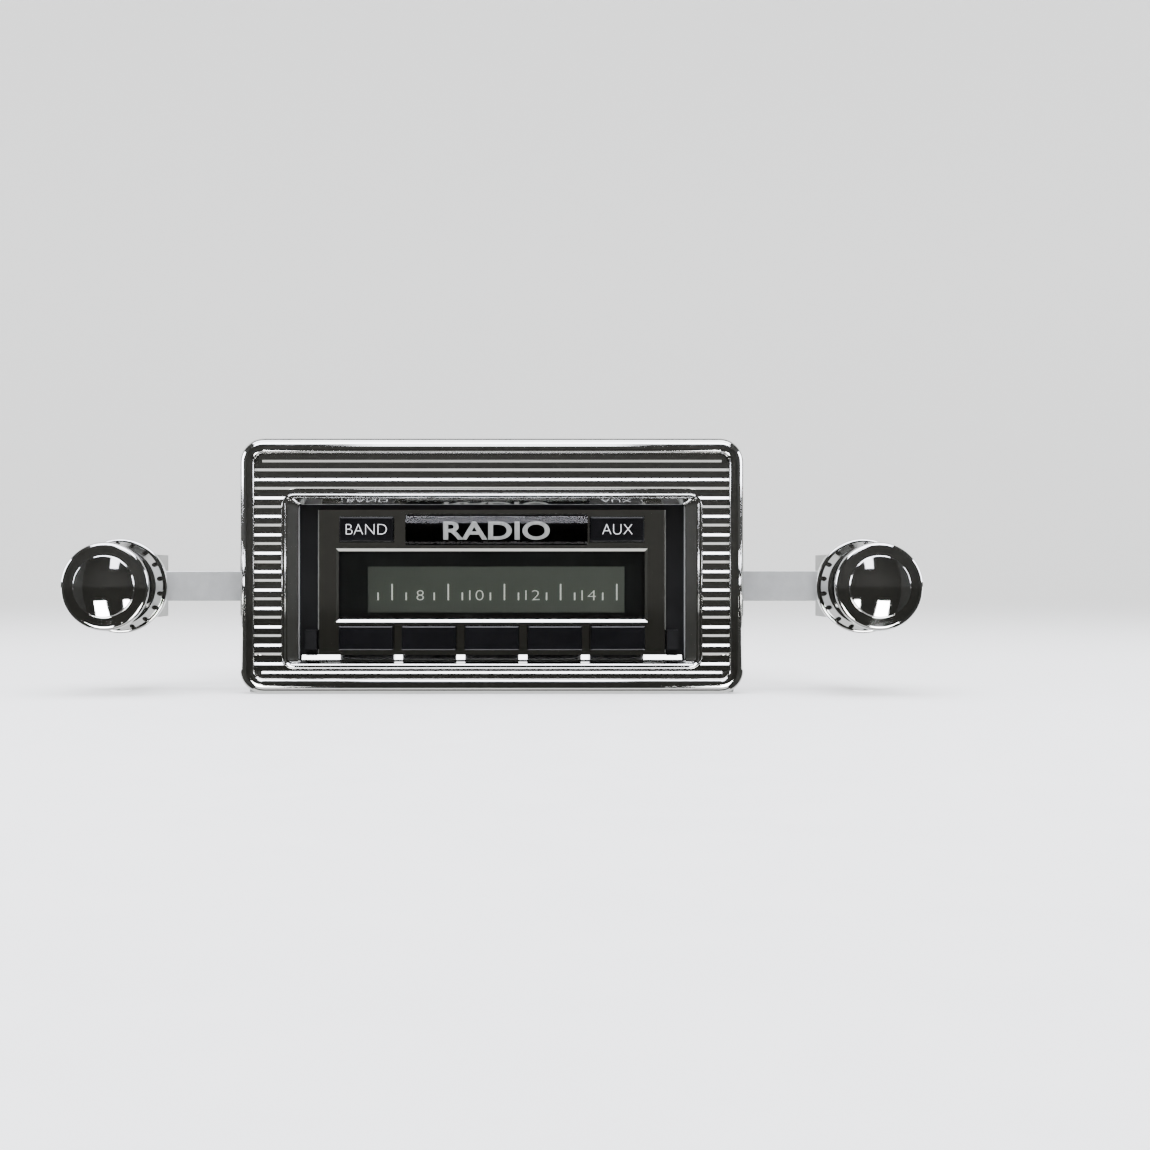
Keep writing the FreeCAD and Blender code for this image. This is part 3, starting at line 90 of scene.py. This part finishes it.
def ramp(tree, factor, stops):
    """A colour ramp; stops are (position, grey or colour)."""
    node = tree.nodes.new("ShaderNodeValToRGB")
    elements = node.color_ramp.elements
    while len(elements) < len(stops):
        elements.new(0.5)
    for element, (position, value) in zip(elements, stops):
        element.position = position
        colour = (value, value, value) if isinstance(value, (int, float)) else value
        element.color = (*colour, 1.0)
    tree.links.new(factor, node.inputs["Fac"])
    return node.outputs["Color"]


def math_node(tree, kind, a, b):
    """A math node on two inputs, either of which may be a number."""
    node = tree.nodes.new("ShaderNodeMath")
    node.operation = kind
    for index, value in enumerate((a, b)):
        if isinstance(value, (int, float)):
            node.inputs[index].default_value = value
        else:
            tree.links.new(value, node.inputs[index])
    return node.outputs[0]


def weighted_sum(tree, one, share_one, two, share_two):
    """A weighted sum of two factors."""
    return math_node(tree, "ADD", math_node(tree, "MULTIPLY", one, share_one),
                     math_node(tree, "MULTIPLY", two, share_two))


def bump(tree, shader, height, strength, distance):
    """A bump on the shader's normal."""
    node = tree.nodes.new("ShaderNodeBump")
    node.inputs["Strength"].default_value = strength
    node.inputs["Distance"].default_value = distance
    tree.links.new(height, node.inputs["Height"])
    tree.links.new(node.outputs["Normal"], shader.inputs["Normal"])


def shade(colour, factor):
    """A colour made darker or lighter, no lighter than white."""
    return [min(1.0, channel * factor) for channel in colour]


def set_tint(tree, shader, factor, stops):
    """A base colour that runs over a ramp."""
    tree.links.new(ramp(tree, factor, stops), shader.inputs["Base Color"])


def set_roughness(tree, shader, factor, stops):
    """A roughness that runs over a ramp."""
    tree.links.new(ramp(tree, factor, stops), shader.inputs["Roughness"])


CHROME_SMUDGE = 0.06
# the display's painted shade, darker to the left and lighter to the right, runs over this span,
# from this far left of its origin, in metres
DISPLAY_SHADE_REACH = 0.04
DISPLAY_SHADE_SPAN = 1 / 12
METAL_SPREAD = 0.12
METAL_GRAIN = 350.0
COAT_ROUGHNESS = 0.04
ACRYLIC_IOR = 1.49
CLEAR_SMEAR = 0.05


def chrome(name, colour, rough):
    """Bright plating with faint smudges, fine polishing marks and a soft orange peel."""
    material, tree, shader = new_material(name)
    shader.inputs["Metallic"].default_value = 1.0
    vector = coordinates(tree)
    cloud = noise(tree, vector, scale=60.0, detail=3.0)
    set_tint(tree, shader, cloud, [(0.3, shade(colour, 0.93)), (0.7, colour)])
    smear = noise(tree, coordinates(tree, scale=(1, 1, 2.5)), scale=95.0, detail=5.0, rough=0.65,
                  distortion=0.4)
    set_roughness(tree, shader, smear, [(0.42, rough), (0.75, rough + CHROME_SMUDGE)])
    peel = noise(tree, vector, scale=240.0, detail=2.0)
    bump(tree, shader, peel, strength=0.01, distance=0.0001)
    return material


def metal(name, colour, rough, grain=(1, 1, 1), mottle=0.18, metallic=1.0):
    """Rolled or cast metal with grain, mottling and small scuffs."""
    material, tree, shader = new_material(name)
    shader.inputs["Metallic"].default_value = metallic
    lines = noise(tree, coordinates(tree, scale=grain), scale=METAL_GRAIN, detail=6.0, rough=0.7)
    spots = noise(tree, coordinates(tree), scale=45.0, detail=5.0, rough=0.6, distortion=0.8)
    mixed = weighted_sum(tree, lines, 0.4, spots, 0.6)
    set_tint(tree, shader, mixed, [(0.32, shade(colour, 1 - mottle)), (0.62, colour)])
    set_roughness(tree, shader, lines, [(0.3, rough), (0.75, rough + METAL_SPREAD)])
    bump(tree, shader, lines, strength=0.12, distance=0.0002)
    return material


def plastic(name, colour, rough, spread=0.08, grain=900.0, depth=0.1, coat=0.0, lift=1.6):
    """Moulded plastic with a fine grain and uneven sheen."""
    material, tree, shader = new_material(name)
    vector = coordinates(tree)
    cloud = noise(tree, vector, scale=70.0, detail=4.0, rough=0.6, distortion=0.5)
    set_tint(tree, shader, cloud, [(0.35, colour), (0.8, shade(colour, lift))])
    set_roughness(tree, shader, cloud, [(0.35, rough), (0.75, rough + spread)])
    shader.inputs["Coat Weight"].default_value = coat
    shader.inputs["Coat Roughness"].default_value = COAT_ROUGHNESS
    speckle = noise(tree, vector, scale=grain, detail=3.0)
    bump(tree, shader, speckle, strength=depth, distance=0.0001)
    return material


def display_cell(name, colour):
    """Unlit display: an even grey green with painted shade, darker to the left and lighter to the
    right, with fine grain.
    """
    material, tree, shader = new_material(name)
    vector = coordinates(tree)
    split = tree.nodes.new("ShaderNodeSeparateXYZ")
    tree.links.new(vector, split.inputs[0])
    # painted shade: the tint runs from darker on the left to lighter on the right across the
    # display
    across = math_node(tree, "MULTIPLY", math_node(tree, "ADD", split.outputs[0], DISPLAY_SHADE_REACH),
                       1 / DISPLAY_SHADE_SPAN)
    grain = noise(tree, vector, scale=2600.0, detail=2.0)
    mixed = weighted_sum(tree, across, 0.8, grain, 0.2)
    set_tint(tree, shader, mixed, [(0.0, shade(colour, 0.86)), (0.9, shade(colour, 1.1))])
    set_roughness(tree, shader, grain, [(0.3, 0.32), (0.7, 0.42)])
    shader.inputs["Specular IOR Level"].default_value = 0.3
    bump(tree, shader, grain, strength=0.02, distance=0.00005)
    return material


def brushed_paint(name, colour):
    """Pale printed film with upright brush lines."""
    material, tree, shader = new_material(name)
    lines = noise(tree, coordinates(tree, scale=(22, 1, 1)), scale=90.0, detail=4.0, rough=0.7)
    set_tint(tree, shader, lines, [(0.3, shade(colour, 0.55)), (0.7, colour)])
    set_roughness(tree, shader, lines, [(0.3, 0.35), (0.7, 0.5)])
    bump(tree, shader, lines, strength=0.2, distance=0.0001)
    return material


def clear(name, tint, rough):
    """Clear moulding: gloss by angle over an almost clear body, with faint smears."""
    material, tree, shader = new_material(name)
    output = next(node for node in tree.nodes if node.type == "OUTPUT_MATERIAL")
    shader.inputs["Base Color"].default_value = (0.9, 0.9, 0.9, 1)
    shader.inputs["Metallic"].default_value = 1.0
    smear = noise(tree, coordinates(tree), scale=80.0, detail=4.0, rough=0.6, distortion=0.5)
    set_roughness(tree, shader, smear, [(0.4, rough), (0.8, rough + CLEAR_SMEAR)])
    through = tree.nodes.new("ShaderNodeBsdfTransparent")
    through.inputs["Color"].default_value = (*tint, 1)
    fresnel = tree.nodes.new("ShaderNodeFresnel")
    fresnel.inputs["IOR"].default_value = ACRYLIC_IOR
    mix = tree.nodes.new("ShaderNodeMixShader")
    tree.links.new(fresnel.outputs[0], mix.inputs[0])
    tree.links.new(through.outputs[0], mix.inputs[1])
    tree.links.new(shader.outputs[0], mix.inputs[2])
    tree.links.new(mix.outputs[0], output.inputs["Surface"])
    return material


# ---- materials by slot ----------------------------------------------------------------------

PLATE = (0.80, 0.80, 0.78)
materials = {
    "chrome_bezel": chrome("chrome_bezel", PLATE, 0.055),
    "chrome_nose": chrome("chrome_nose", (0.70, 0.70, 0.66), 0.05),
    "chrome_knob": chrome("chrome_knob", (0.84, 0.84, 0.83), 0.04),
    "chrome_ring": chrome("chrome_ring", (0.74, 0.74, 0.73), 0.07),
    "plated_steel": metal("plated_steel", (0.62, 0.61, 0.57), 0.28),
    "zinc_sheet": metal("zinc_sheet", (0.60, 0.61, 0.60), 0.42, grain=(1, 6, 1), mottle=0.25,
                        metallic=0.6),
    "zinc_casting": metal("zinc_casting", (0.50, 0.50, 0.48), 0.42, mottle=0.2),
    "black_moulding": plastic("black_moulding", (0.004, 0.004, 0.0045), 0.4),
    "dark_screw": metal("dark_screw", (0.09, 0.09, 0.09), 0.35),
    "clear_lens": clear("clear_lens", (0.93, 0.94, 0.92), 0.01),
    "black_film": plastic("black_film", (0.008, 0.008, 0.009), 0.3),
    "lcd": display_cell("lcd", (0.092, 0.100, 0.086)),
    "light_guide": plastic("light_guide", (0.75, 0.77, 0.72), 0.5, lift=1.1),
    "circuit_board": plastic("circuit_board", (0.015, 0.09, 0.035), 0.3, lift=1.5, coat=0.4),
    "switch_black": plastic("switch_black", (0.02, 0.02, 0.02), 0.45),
    "badge_black": plastic("badge_black", (0.006, 0.006, 0.007), 0.1),
    "clear_dome": clear("clear_dome", (0.90, 0.91, 0.90), 0.11),
    "button_black": plastic("button_black", (0.0028, 0.0028, 0.0034), 0.14, grain=1400.0,
                            depth=0.03),
    "brass_post": metal("brass_post", (0.62, 0.48, 0.22), 0.25),
    "connector_white": plastic("connector_white", (0.72, 0.70, 0.63), 0.45, lift=1.1),
    "tinned_can": metal("tinned_can", (0.62, 0.63, 0.64), 0.3, grain=(6, 1, 1)),
    "capacitor_sleeve": plastic("capacitor_sleeve", (0.02, 0.025, 0.08), 0.3),
    "chip_black": plastic("chip_black", (0.02, 0.02, 0.02), 0.55),
    "black_anodised": metal("black_anodised", (0.045, 0.045, 0.048), 0.4, grain=(1, 1, 12)),
    "gold_jack": metal("gold_jack", (0.72, 0.56, 0.26), 0.22),
    "connector_black": plastic("connector_black", (0.014, 0.014, 0.014), 0.4),
    "lead_rubber": plastic("lead_rubber", (0.015, 0.015, 0.015), 0.55),
    "dial_print": plastic("dial_print", (0.84, 0.86, 0.80), 0.5, lift=1.08),
    "white_print": plastic("white_print", (0.72, 0.73, 0.74), 0.45, lift=1.12),
    "brushed_print": brushed_paint("brushed_print", (0.62, 0.62, 0.61)),
}
slot_of = {row["node"]: row["material_slot"] for row in frame["record"]["subparts"]}
for name, piece in nodes.items():
    material = materials[slot_of[name]]
    piece.data.materials.clear()
    piece.data.materials.append(material)
    for polygon in piece.data.polygons:
        polygon.material_index = 0


# sheet metal, housings, fasteners and the heat sink get a small broken edge, its width here in mm
BROKEN_EDGES = {
    "chassis_tray": 0.25, "top_cover": 0.3, "rear_panel": 0.2, "bracket_left": 0.35,
    "bracket_right": 0.35, "control_left": 0.5, "control_right": 0.5, "heat_sink": 0.2,
    "harness_socket": 0.3, "rear_stud": 0.2, "rca_jacks": 0.15, "antenna_socket": 0.3,
    "cover_screws": 0.25, "bracket_screws": 0.25, "bezel_stud_nuts": 0.3,
    "bezel_studs": 0.2, "control_nuts": 0.3, "tuner_module": 0.3, "board_connector": 0.3,
    "amplifier": 0.3, "capacitors": 0.6, "front_plate": 0.2,
}
WELD_REACH = 0.002 * MM
SHARP_ANGLE = math.radians(50)
for name, width in BROKEN_EDGES.items():
    weld = nodes[name].modifiers.new("weld", "WELD")
    weld.merge_threshold = WELD_REACH
    edge = nodes[name].modifiers.new("broken_edge", "BEVEL")
    edge.width = width * MM
    edge.segments = 2
    edge.limit_method = "ANGLE"
    edge.angle_limit = SHARP_ANGLE
    edge.use_clamp_overlap = True
    edge.harden_normals = True


# ---- added pieces ---------------------------------------------------------------------------

def add_piece(name, mesh, body, slot_name):
    """A visual piece that rides on a body and takes the finish of a slot."""
    piece = bpy.data.objects.new(name, mesh)
    bpy.context.scene.collection.objects.link(piece)
    mesh.materials.append(materials[slot_name])
    bpy.context.view_layer.update()
    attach(piece, body)
    return piece


def lettering(text, middle, face, rise, width, height, thick, weight):
    """Raised letters on a face that looks along -Y, sized by width and cap height, as vertices
    and faces in the part's frame; weight makes the strokes bolder or, below zero, finer."""
    data = bpy.data.curves.new("letters", "FONT")
    data.body = text
    data.size = 1.0
    data.offset = weight
    data.resolution_u = 6
    data.extrude = 0.5
    holder = bpy.data.objects.new("letters", data)
    bpy.context.scene.collection.objects.link(holder)
    bpy.context.view_layer.update()
    mesh = bpy.data.meshes.new_from_object(
        holder.evaluated_get(bpy.context.evaluated_depsgraph_get()))
    bpy.data.objects.remove(holder)
    points = [vertex.co.copy() for vertex in mesh.vertices]
    left = min(point.x for point in points)
    right = max(point.x for point in points)
    foot = min(point.y for point in points)
    top = max(point.y for point in points)
    verts = [
        Vector((
            middle + ((point.x - left) / (right - left) - 0.5) * width,
            face - (point.z + 0.5) * thick,
            rise + ((point.y - foot) / (top - foot) - 0.5) * height,
        )) for point in points
    ]
    faces = [tuple(polygon.vertices) for polygon in mesh.polygons]
    bpy.data.meshes.remove(mesh)
    return verts, faces


def bar(x0, x1, y0, y1, z0, z1):
    """A block as vertices and faces."""
    verts = [Vector((x, y, z)) for x in (x0, x1) for y in (y0, y1) for z in (z0, z1)]
    faces = [(0, 1, 3, 2), (4, 6, 7, 5), (0, 4, 5, 1), (2, 3, 7, 6), (0, 2, 6, 4), (1, 5, 7, 3)]
    return verts, faces


def joined(name, forms):
    """One mesh from several (vertices, faces) pairs."""
    verts = []
    faces = []
    for points, polygons in forms:
        base = len(verts)
        verts.extend(points)
        faces.extend(tuple(base + index for index in polygon) for polygon in polygons)
    mesh = bpy.data.meshes.new(name)
    mesh.from_pydata([tuple(point) for point in verts], [], faces)
    mesh.update()
    return mesh


PAINT = 0.02 * MM
# dial scale on the display glass: a number midway between long strokes, short strokes each side
glass_low, glass_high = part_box("lcd_glass")
dial_middle = (glass_low.x + glass_high.x) / 2
dial_face = glass_low.y
DIAL_STEP = 16.95 * MM
FIRST_LONG = -31.4 * MM
STROKE_FOOT = -10.3 * MM
LONG_TOP = -5.4 * MM
SHORT_TOP = -8.0 * MM
SHORT_REACH = 4.24 * MM
STROKE = 0.42 * MM
LONG_STROKES = 5
FIRST_NUMBER = 8
DIGIT_HEIGHT = 3.0 * MM
DIGIT_WIDTH = 2.1525 * MM
DIGIT_WEIGHT = -0.02
marks = []


def stroke(x, top):
    """One upright stroke of the dial scale."""
    middle = dial_middle + x
    marks.append(bar(middle - STROKE / 2, middle + STROKE / 2, dial_face - PAINT, dial_face,
                     STROKE_FOOT, top))


for step in range(LONG_STROKES):
    long_x = FIRST_LONG + DIAL_STEP * step
    stroke(long_x, LONG_TOP)
    stroke(long_x - SHORT_REACH, SHORT_TOP)
    if step < LONG_STROKES - 1:
        stroke(long_x + SHORT_REACH, SHORT_TOP)
        number = str(FIRST_NUMBER + 2 * step)
        marks.append(lettering(
            number, dial_middle + long_x + DIAL_STEP / 2, dial_face,
            STROKE_FOOT + DIGIT_HEIGHT / 2, DIGIT_WIDTH * len(number), DIGIT_HEIGHT, PAINT,
            DIGIT_WEIGHT))
add_piece("dial_scale", joined("dial_scale", marks), "chassis", "dial_print")

# words on the two upper keys
KEY_WORD_HEIGHT = 3.05 * MM
KEY_WORD_WEIGHT = -0.028
for key, word, width in (("band_button", "BAND", 12.2), ("aux_button", "AUX", 9.0)):
    key_low, key_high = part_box(key)
    points = lettering(word, (key_low.x + key_high.x) / 2, key_low.y,
                       (key_low.z + key_high.z) / 2, width * MM, KEY_WORD_HEIGHT, PAINT,
                       KEY_WORD_WEIGHT)
    add_piece(key + "_word", joined(key + "_word", [points]), key + "_body", "white_print")

# plain word under the badge's clear cap
BADGE_WORD_DROP = 0.5 * MM
BADGE_WORD_WIDTH = 32.0 * MM
BADGE_WORD_HEIGHT = 5.6 * MM
BADGE_WORD_RELIEF = 0.15 * MM
BADGE_WORD_WEIGHT = 0.02
badge_low, badge_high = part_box("badge_plate")
badge_word = lettering("RADIO", (badge_low.x + badge_high.x) / 2, badge_low.y,
                       (badge_low.z + badge_high.z) / 2 - BADGE_WORD_DROP, BADGE_WORD_WIDTH,
                       BADGE_WORD_HEIGHT, BADGE_WORD_RELIEF, BADGE_WORD_WEIGHT)
add_piece("badge_word", joined("badge_word", [badge_word]), "chassis", "brushed_print")


THREAD_SIDES = 28
THREAD_RIDGE = ((-0.32, -0.3), (0.0, 1.0), (0.32, -0.3))


def thread(name, x, z, y0, y1, radius, pitch, depth):
    """A plated screw thread along Y, as a coiled ridge that eases in and out over one turn. The
    ridge's section is in shares of the pitch along it and of the depth across it."""
    steps = (int((y1 - y0) / pitch) - 1) * THREAD_SIDES
    verts = []
    faces = []
    for index in range(steps + 1):
        angle = math.tau * index / THREAD_SIDES
        along = y0 + pitch * (0.5 + index / THREAD_SIDES)
        ease = min(1.0, index / THREAD_SIDES, (steps - index) / THREAD_SIDES)
        for offset, lift in THREAD_RIDGE:
            reach = radius + depth * (lift * ease if lift > 0 else lift)
            verts.append(Vector((x + reach * math.cos(angle), along + offset * pitch,
                                 z + reach * math.sin(angle))))
        if index:
            base = (index - 1) * 3
            faces.append((base, base + 1, base + 4, base + 3))
            faces.append((base + 1, base + 2, base + 5, base + 4))
            faces.append((base + 2, base, base + 3, base + 5))
    mesh = joined(name, [(verts, faces)])
    for polygon in mesh.polygons:
        polygon.use_smooth = True
    return add_piece(name, mesh, "chassis", "plated_steel")


# thread on the rear stud, from the back of its nut
STUD_NUT_DEPTH = 2.4 * MM
stud_low, stud_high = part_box("rear_stud")
panel_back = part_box("rear_panel")[1].y
thread("rear_stud_thread", (stud_low.x + stud_high.x) / 2, (stud_low.z + stud_high.z) / 2,
       panel_back + STUD_NUT_DEPTH, stud_high.y, radius=2.9 * MM, pitch=1.0 * MM, depth=0.22 * MM)

# threads on the four bezel studs, behind their nuts
STUD_CLEAR = 0.2 * MM
stud_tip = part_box("bezel_studs")[1].y
nut_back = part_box("bezel_stud_nuts")[1].y
stud_mount = next(row for row in frame["record"]["mounts"] if row["name"] == "bezel_studs")
stud_x = stud_mount["dims"]["spacing_x_mm"] / 2 * MM
stud_z = stud_mount["dims"]["spacing_y_mm"] / 2 * MM
for index, (sx, sz) in enumerate(((-1, -1), (-1, 1), (1, -1), (1, 1))):
    thread("bezel_stud_thread_%d" % (index + 1), stud_x * sx, stud_z * sz, nut_back + STUD_CLEAR,
           stud_tip, radius=1.98 * MM, pitch=0.7 * MM, depth=0.16 * MM)

# contacts inside the harness socket
PIN_ROWS = 2
PIN_COLUMNS = 8
PIN_HALF_WIDTH = 0.35 * MM
PIN_HALF_HEIGHT = 0.9 * MM
PIN_ROOT = 3.0 * MM
PIN_RECESS = 5.0 * MM
socket_low, socket_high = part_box("harness_socket")
socket_size = socket_high - socket_low
pin_forms = []
for row in range(PIN_ROWS):
    for column in range(PIN_COLUMNS):
        pin_x = socket_low.x + socket_size.x * (column + 1) / (PIN_COLUMNS + 1)
        pin_z = socket_low.z + socket_size.z * (row + 1) / (PIN_ROWS + 1)
        pin_forms.append(bar(pin_x - PIN_HALF_WIDTH, pin_x + PIN_HALF_WIDTH,
                             socket_low.y + PIN_ROOT, socket_high.y - PIN_RECESS,
                             pin_z - PIN_HALF_HEIGHT, pin_z + PIN_HALF_HEIGHT))
add_piece("harness_pins", joined("harness_pins", pin_forms), "chassis", "gold_jack")


# ---- stage, lights, camera ------------------------------------------------------------------

# metres and watts; FLOOR_SPLIT is where the floor's two halves meet, behind the bezel
floor_level = cad_box[0].z
FLOOR_SPLIT = 0.03
FLOOR_GLOW = 0.42
BOWL_STEPS = 24
BEND_STEPS = 12
BOWL_REACH = 2.4
BOWL_BEND = 0.6
BOWL_HEIGHT = 1.6
pale = plastic("floor_pale", (0.80, 0.80, 0.79), 0.7, grain=200.0, lift=1.04)
pale_shader = next(node for node in pale.node_tree.nodes if node.type == "BSDF_PRINCIPLED")
pale_shader.inputs["Emission Color"].default_value = (1.0, 1.0, 1.0, 1.0)
pale_shader.inputs["Emission Strength"].default_value = FLOOR_GLOW


def bowl_profile():
    """(reach, rise) points of the studio floor and wall from the middle out."""
    points = [(0.02, 0.0), (0.4, 0.0), (1.2, 0.0), (BOWL_REACH, 0.0)]
    for step in range(1, BEND_STEPS + 1):
        turn = math.pi / 2 * step / BEND_STEPS
        points.append((BOWL_REACH + BOWL_BEND * math.sin(turn), BOWL_BEND * (1 - math.cos(turn))))
    points.append((BOWL_REACH + BOWL_BEND, BOWL_HEIGHT))
    return points


def make_bowl(name, first, last, mirrored):
    """Part of a round pale floor that curves up into a wall, between two headings. Only a
    mirrored part shows in reflections."""
    form = bmesh.new()
    rows = []
    for index in range(BOWL_STEPS + 1):
        heading = first + (last - first) * index / BOWL_STEPS
        rows.append([
            form.verts.new((reach * math.cos(heading), FLOOR_SPLIT + reach * math.sin(heading),
                            floor_level + rise))
            for reach, rise in bowl_profile()])
    middle = form.verts.new((0.0, FLOOR_SPLIT, floor_level))
    for one, two in zip(rows, rows[1:]):
        form.faces.new((middle, one[0], two[0]))
        for index in range(len(one) - 1):
            form.faces.new((one[index], one[index + 1], two[index + 1], two[index]))
    for face in form.faces:
        face.smooth = True
    mesh = bpy.data.meshes.new(name)
    form.to_mesh(mesh)
    form.free()
    mesh.materials.append(pale)
    part = bpy.data.objects.new(name, mesh)
    bpy.context.scene.collection.objects.link(part)
    part.visible_glossy = mirrored


make_bowl("studio_rear", 0.0, math.pi, mirrored=True)
make_bowl("studio_front", math.pi, math.tau, mirrored=False)


def dark_card(name, corners, finish):
    """A dark flag that only shows in reflections."""
    mesh = bpy.data.meshes.new(name)
    mesh.from_pydata(corners, [], [(0, 1, 2, 3)])
    mesh.materials.append(finish)
    card = bpy.data.objects.new(name, mesh)
    bpy.context.scene.collection.objects.link(card)
    card.visible_camera = False
    card.visible_diffuse = False
    card.visible_shadow = False
    card.visible_transmission = False


# five cards close a dark tent in front of the radio and round its sides
CARD_Y = -1.3
CARD_X = 1.25
CARD_TOP = 1.25
CARD_LOW = -1.9
CARD_BACK = 0.85
card_dark = plastic("card_dark", (0.0125, 0.0120, 0.0095), 0.9, lift=1.5, grain=20.0)
card_grey = plastic("card_grey", (0.022, 0.022, 0.020), 0.9, lift=1.8, grain=20.0)
dark_card("card_front", [(-CARD_X, CARD_Y, CARD_LOW), (CARD_X, CARD_Y, CARD_LOW),
                         (CARD_X, CARD_Y, CARD_TOP), (-CARD_X, CARD_Y, CARD_TOP)], card_dark)
for side in (-1, 1):
    dark_card("card_side_%d" % (side + 1), [
        (CARD_X * side, CARD_Y, CARD_LOW), (CARD_X * side, CARD_BACK, CARD_LOW),
        (CARD_X * side, CARD_BACK, CARD_TOP), (CARD_X * side, CARD_Y, CARD_TOP)], card_grey)
dark_card("card_under", [(-CARD_X, CARD_Y, CARD_LOW), (CARD_X, CARD_Y, CARD_LOW),
                         (CARD_X, FLOOR_SPLIT, CARD_LOW), (-CARD_X, FLOOR_SPLIT, CARD_LOW)],
          card_dark)
dark_card("card_over", [(-CARD_X, CARD_Y, CARD_TOP), (CARD_X, CARD_Y, CARD_TOP),
                        (CARD_X, CARD_BACK, CARD_TOP), (-CARD_X, CARD_BACK, CARD_TOP)], card_grey)


def softbox(name, spot, aim, width, height, power, colour=(1, 1, 1)):
    """An area light that points at a spot."""
    data = bpy.data.lights.new(name, "AREA")
    data.shape = "RECTANGLE"
    data.size = width
    data.size_y = height
    data.energy = power
    data.color = colour
    lamp = bpy.data.objects.new(name, data)
    bpy.context.scene.collection.objects.link(lamp)
    lamp.location = spot
    lamp.rotation_euler = (Vector(aim) - Vector(spot)).to_track_quat("-Z", "Y").to_euler()
    lamp.visible_camera = False


COOL = (0.90, 0.91, 1.0)
softbox("softbox_over", (0.0, 0.05, 1.0), (0, 0.05, 0), 1.4, 0.35, 14.0, COOL)
softbox("softbox_top", (0.0, -0.48, 0.95), (0, 0, 0), 1.3, 0.46, 21.0, COOL)
softbox("softbox_left", (-0.95, 0.02, 0.27), (0, 0, 0.02), 0.4, 0.42, 7.0, COOL)
softbox("softbox_right", (0.95, 0.02, 0.27), (0, 0, 0.02), 0.4, 0.42, 7.0, COOL)
for side in (-1, 1):
    softbox("window_%d" % (side + 1), (0.34 * side, -0.80, -0.53), (0.1 * side, 0, 0),
            0.30, 0.40, 8.0)
softbox("softbox_front", (0.0, -1.0, 0.76), (0, 0, 0), 0.26, 0.50, 2.3, COOL)
softbox("softbox_under", (0.0, -0.52, -1.0), (0, 0, 0), 1.2, 0.30, 1.6)

world = bpy.data.worlds.new("studio")
bpy.context.scene.world = world
world.use_nodes = True
background = world.node_tree.nodes["Background"]
background.inputs["Color"].default_value = (0.86, 0.87, 0.88, 1)
background.inputs["Strength"].default_value = 1.35

camera_data = bpy.data.cameras.new("camera")
camera = bpy.data.objects.new("camera", camera_data)
bpy.context.scene.collection.objects.link(camera)
bpy.context.scene.camera = camera
CAMERA_DISTANCE = 0.553
CAMERA_DROP = 0.0027
FRAMING_SHIFT = 0.0723
camera_data.sensor_width = 36.0
camera_data.lens = 57.8
camera_data.clip_start = 0.02
camera_data.clip_end = 20.0
camera.location = (0.0, -CAMERA_DISTANCE, -CAMERA_DROP)
camera.rotation_euler = (math.pi / 2, 0, 0)
camera_data.shift_x = FRAMING_SHIFT

bpy.context.view_layer.update()
